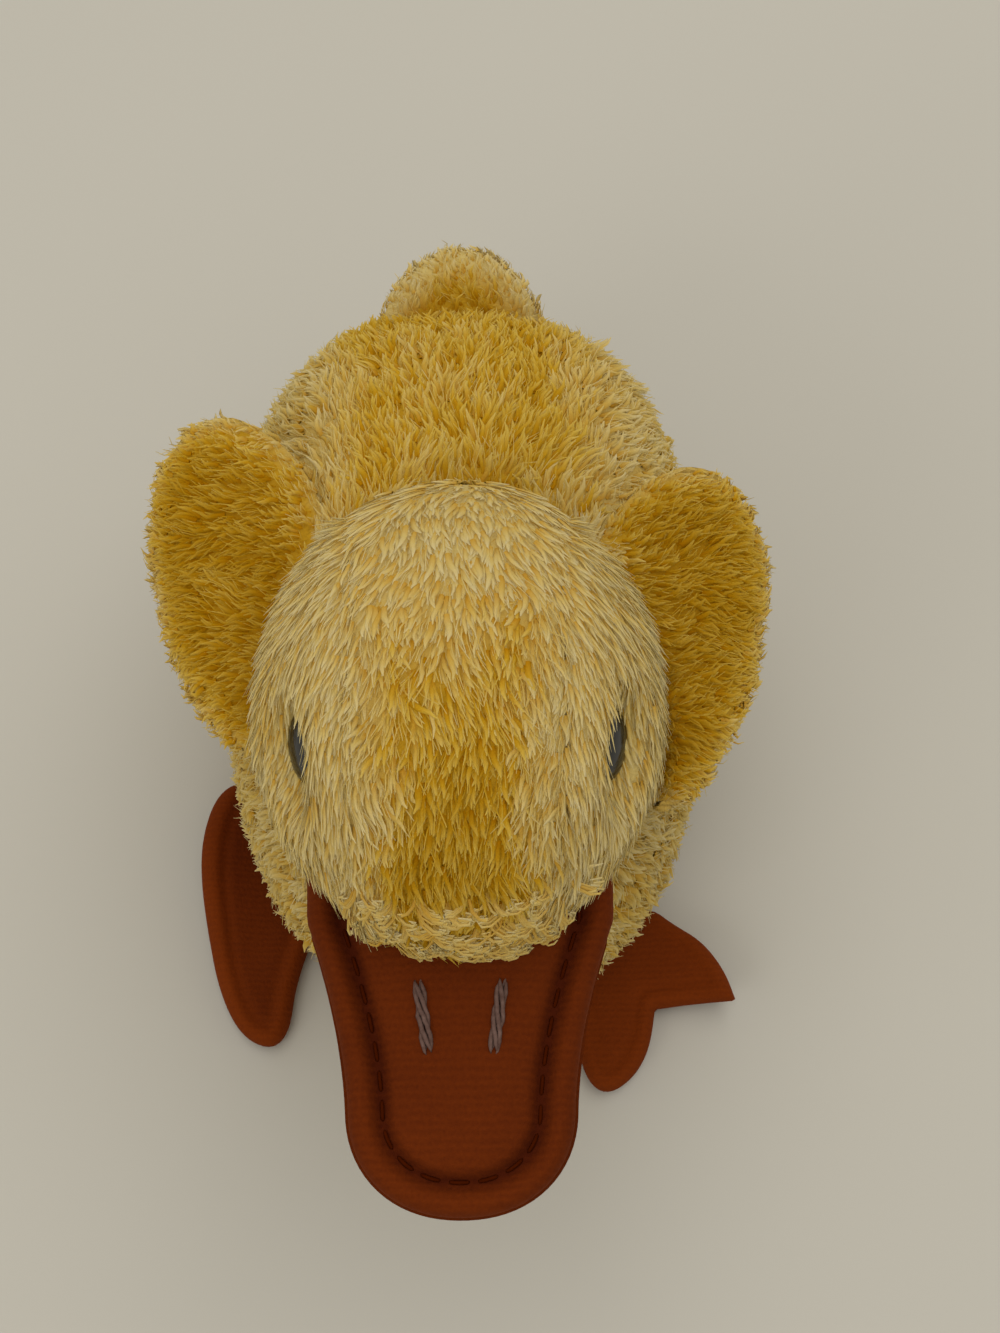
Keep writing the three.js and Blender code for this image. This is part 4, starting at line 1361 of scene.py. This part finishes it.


# Feet: two velour layers, cut to a webbed outline and curled across

# paler is painted light over each whole foot, and shade is painted shade in its hollow middle
footLook = {
    "half": 1.65, "roll": 1.3, "seamIn": 2.3, "seamWide": 0.6, "seamDepth": 0.25, "cloth": 0.7, "fill": 0.25,
    "paler": 0.4, "lumpSize": 6.0, "lump": 0.14,
}
leftFootLook = dict(footLook, place=leftFootPlace, curl=60.0, shade=0.1, middle=(-3.0, 5.0), outline=[
    (5.5, -4.5), (-6.5, -4.5), (-9.1, -1.9), (-12.6, 0.8), (-14.9, 4.9), (-15.8, 8.8), (-15.8, 8.8),
    (-10.8, 8.6), (-5.9, 8.8), (-5.9, 8.8), (-4.8, 13.6), (-2.7, 16.9), (0.4, 18.9), (2.6, 18.1), (3.9, 15.0),
    (4.2, 9.0), (5.8, 3.0),
])
rightFootLook = dict(footLook, place=rightFootPlace, curl=24.0, shade=0.4, middle=(3.5, 1.0), outline=[
    (9.0, -14.5), (11.6, -11.8), (12.2, -6.0), (11.4, -0.5), (9.3, 6.1), (6.4, 13.5), (2.8, 18.4),
    (-1.4, 19.6), (-3.1, 16.8), (-2.7, 11.5), (-3.5, 5.0), (-5.5, -1.0), (-5.5, -6.5), (1.0, -8.0),
    (6.0, -11.5),
])


def roundedLine(spots, steps):  # a smooth closed line, with a corner where a point comes twice
    spots = np.array(spots, dtype=float)
    halfway = (spots + np.roll(spots, -1, axis=0)) / 2
    return np.vstack([arcPoints(halfway[i - 1], spots[i], halfway[i], steps) for i in range(len(spots))])


def makeFoot(name, body, look):
    edge = roundedLine(look["outline"], 8)
    rim = np.vstack([edge, edge[:1]])

    def height(flat, upper):
        inward = fromLine(flat, rim)
        dent = look["seamDepth"] * np.exp(-((inward - look["seamIn"]) / look["seamWide"]) ** 2)
        return look["half"] * rolledEdge(inward, look["roll"]) - dent * (inward > 0.8)

    pad = sewnPad(name + "Under", edge, np.array(look["middle"]), 120, 24, height)
    unevened(pad, rim, look["lumpSize"], 5, look["lump"])
    top, sole = splitLayers(pad, name)
    for cloth, layer in ((top, "top"), (sole, "sole")):
        spots = points(cloth)
        # painted shade in the hollow middle of the foot, less painted light over all of it
        hollow = ramp(fromLine(spots[:, :2], rim), 1.0, 2.5)
        marked(cloth, "crease", look["shade"] * hollow - look["paler"])
        radius = look["curl"] - look["half"]
        lean = np.arcsin(np.clip(spots[:, 0] / radius, -0.98, 0.98))
        arm = radius - spots[:, 2]
        curled = np.stack([np.sin(lean) * arm, spots[:, 1], radius - np.cos(lean) * arm], axis=1)
        placed = toWorld(look["place"], curled)
        placed[:, 2] = np.maximum(placed[:, 2], 0.02)
        setPoints(cloth, placed)
        sewn(cloth, look, velour, body, "rust_velour", body + "_" + layer)


makeFoot("leftFoot", "left_foot", leftFootLook)
makeFoot("rightFoot", "right_foot", rightFootLook)
print("feet made")


# Eyes: a domed button on a shank

eyeLook = {"radius": 3.6, "dome": 1.4, "edge": 0.35, "seat": -3.8, "shank": 1.2, "tip": -6.5}


def makeEye(spot, facing, name, node):
    up = unit(np.array([0.0, 0.0, 1.0]) - facing * facing[2])
    radius = eyeLook["radius"]
    shank = eyeLook["shank"]
    seat = eyeLook["seat"]
    edge = seat + eyeLook["edge"]
    rise = eyeLook["dome"] - eyeLook["edge"]
    profile = [(0.0, eyeLook["tip"]), (shank, eyeLook["tip"] + 0.1), (shank, seat - 0.1), (shank + 0.3, seat)]
    profile += [(radius - 0.3, seat), (radius, seat + 0.15)]
    profile += [(radius * math.cos(t), edge + rise * math.sin(t)) for t in np.linspace(0, np.pi / 2, 12)[:-1]]
    profile += [(0.0, seat + eyeLook["dome"])]
    eye = turned(name, 40, profile, spot, np.stack([np.cross(up, facing), up, facing]))
    dressed(eye, eyeBlack, "head", "eye_plastic", node)


makeEye(eyeSpots[0], eyeFacing[0], "eyeLeft", "eye_left")
makeEye(eyeSpots[1], eyeFacing[1], "eyeRight", "eye_right")
recoloured("eye_washer_left", washerPlastic)
recoloured("eye_washer_right", washerPlastic)
print("eyes made")


# Finger hollow: a gathered lining in three lengths, and the bound mouth

hollowLook = {
    "wall": 0.8, "gather": 0.22, "folds": 9, "tip": 66.0, "hemInner": 9.6, "hemOuter": 11.6, "hemHeight": 3.0,
    "hemRound": 0.7, "hemWave": 0.1, "hemWaves": 26, "sleeve": (0.5, 29.6), "neckHalf": 9.3, "pocket": 54.4,
    "straight": 0.45,
}
hemStitchLook = {"length": 1.9, "gap": 0.9, "radius": 0.16, "lift": -0.05}


def makeSleeve(name, low, high, body, node, closed, seed):
    finger = neckSize["finger"]

    def shape(u, v):
        angle = u * 2 * np.pi
        height = low + (high - low) * v
        radius = np.full_like(u, finger + 0.1)
        if closed:  # the end of the finger
            straight = high - finger
            share = hollowLook["straight"]
            turn = ramp(v, share, 1 - share) * np.pi / 2
            height = np.where(v < share, low + (straight - low) * v / share, straight + finger * np.sin(turn))
            radius = (finger + 0.1) * np.cos(turn)
        fold = np.sin(angle * hollowLook["folds"] + 2 * np.sin(height * 0.5 + seed))
        fold = fold * hollowLook["gather"] * 0.5
        radius = np.maximum(radius + fold * ramp(radius, 0, 3), 0.0)
        flat = np.stack([radius * np.cos(angle), radius * np.sin(angle)], axis=1) + neckSize["pivot"][:2]
        return np.column_stack([flat, height])
    sleeve = wrapped(name, 54, 24, shape)
    applied(sleeve, "SOLIDIFY", thickness=hollowLook["wall"] * mm, offset=1.0)
    dressed(sleeve, lining, body, "lining", node)


def makeHollow():
    pivot = neckSize["pivot"]
    neck = (pivot[2] - hollowLook["neckHalf"], pivot[2] + hollowLook["neckHalf"])
    pocket = (hollowLook["pocket"], hollowLook["tip"])
    makeSleeve("fingerSleeve", *hollowLook["sleeve"], "torso", "finger_sleeve", False, 1)
    makeSleeve("neckSleeve", *neck, "neck", "neck_sleeve", False, 2)
    makeSleeve("fingertipPocket", *pocket, "head", "fingertip_pocket", True, 3)
    middle = (hollowLook["hemInner"] + hollowLook["hemOuter"]) / 2
    half = (hollowLook["hemOuter"] - hollowLook["hemInner"]) / 2
    tall = hollowLook["hemHeight"] / 2

    def rounded(share):
        return np.sign(share) * abs(share) ** hollowLook["hemRound"]

    turn = np.linspace(0, 2 * np.pi, 16, endpoint=False)
    profile = [(middle + half * rounded(math.cos(t)), tall + tall * rounded(math.sin(t))) for t in turn]
    floor = np.array([pivot[0], pivot[1], 0.0])
    hem = turned("openingHem", 72, profile + profile[:1], floor, np.eye(3))
    spots = points(hem)
    angle = np.arctan2(spots[:, 1] - pivot[1], spots[:, 0])
    wave = hollowLook["hemWave"] * np.sin(angle * hollowLook["hemWaves"])
    spots[:, 2] = np.maximum(spots[:, 2] + wave, 0.0)
    setPoints(hem, spots)
    dressed(hem, lining, "torso", "lining", "opening_hem")
    angle = np.linspace(0, 2 * np.pi, 120)
    height = np.full_like(angle, 0.3)
    ring = np.stack([middle * np.cos(angle), middle * np.sin(angle), height], axis=1) + floor
    lift = np.array([0.0, 0.0, hemStitchLook["lift"]])
    makeStitches("hemStitches", ring, hemStitchLook, lift, liningThread, "torso", "lining")


makeHollow()
print("finger hollow made")


# Stuffing: loose fibre that fills the body and the head round the lining

fillLook = {"inset": 2.6, "lump": 0.5, "lumpSize": 7.0, "room": 0.6}


def cutAway(piece, cutter):
    applied(piece, "BOOLEAN", object=cutter, operation="DIFFERENCE", solver="EXACT")
    bpy.data.objects.remove(cutter)


def fingerRoom(low, high):  # the lining, its round end and a little room
    startAfresh()
    middle = neckSize["pivot"] * mm
    radius = (neckSize["finger"] + hollowLook["wall"] + fillLook["room"]) * mm
    place = (middle[0], middle[1], (low + high) / 2 * mm)
    bpy.ops.mesh.primitive_cylinder_add(vertices=48, radius=radius, depth=(high - low) * mm, location=place)
    return named("fingerRoom")


def neckRoom():
    startAfresh()
    middle = neckSize["pivot"] * mm
    radius = (neckSize["radius"] + fillLook["room"]) * mm
    bpy.ops.mesh.primitive_uv_sphere_add(segments=48, ring_count=24, radius=radius, location=middle)
    return named("neckRoom")


def lumpy(piece, spots, seed):
    return spots + normals(piece) * (lumps(spots, fillLook["lumpSize"], seed) * fillLook["lump"])[:, None]


def makeStuffing():
    inset = fillLook["inset"]
    neck = neckSize["pivot"][2]
    body = roundBall("bodyStuffing", 17)
    spots = bodyForm(points(body), inset)
    setPoints(body, spots)
    spots = underHead(lumpy(body, spots, 8), bodyLook["headRoom"] + inset)
    spots[:, 2] = np.maximum(spots[:, 2], inset * 0.6)
    setPoints(body, spots)
    merged(body, 0.05)
    head = roundBall("headStuffing", 15)
    setPoints(head, pressedEyes(lumpy(head, headForm(points(head), inset), 9)))
    cutAway(body, neckRoom())
    cutAway(body, fingerRoom(-5.0, neck))
    cutAway(head, neckRoom())
    cutAway(head, fingerRoom(neck, hollowLook["tip"] + hollowLook["wall"] + fillLook["room"]))
    dressed(body, stuffing, "torso", "stuffing", "body_stuffing")
    dressed(head, stuffing, "head", "stuffing", "head_stuffing")


makeStuffing()
print("stuffing made")
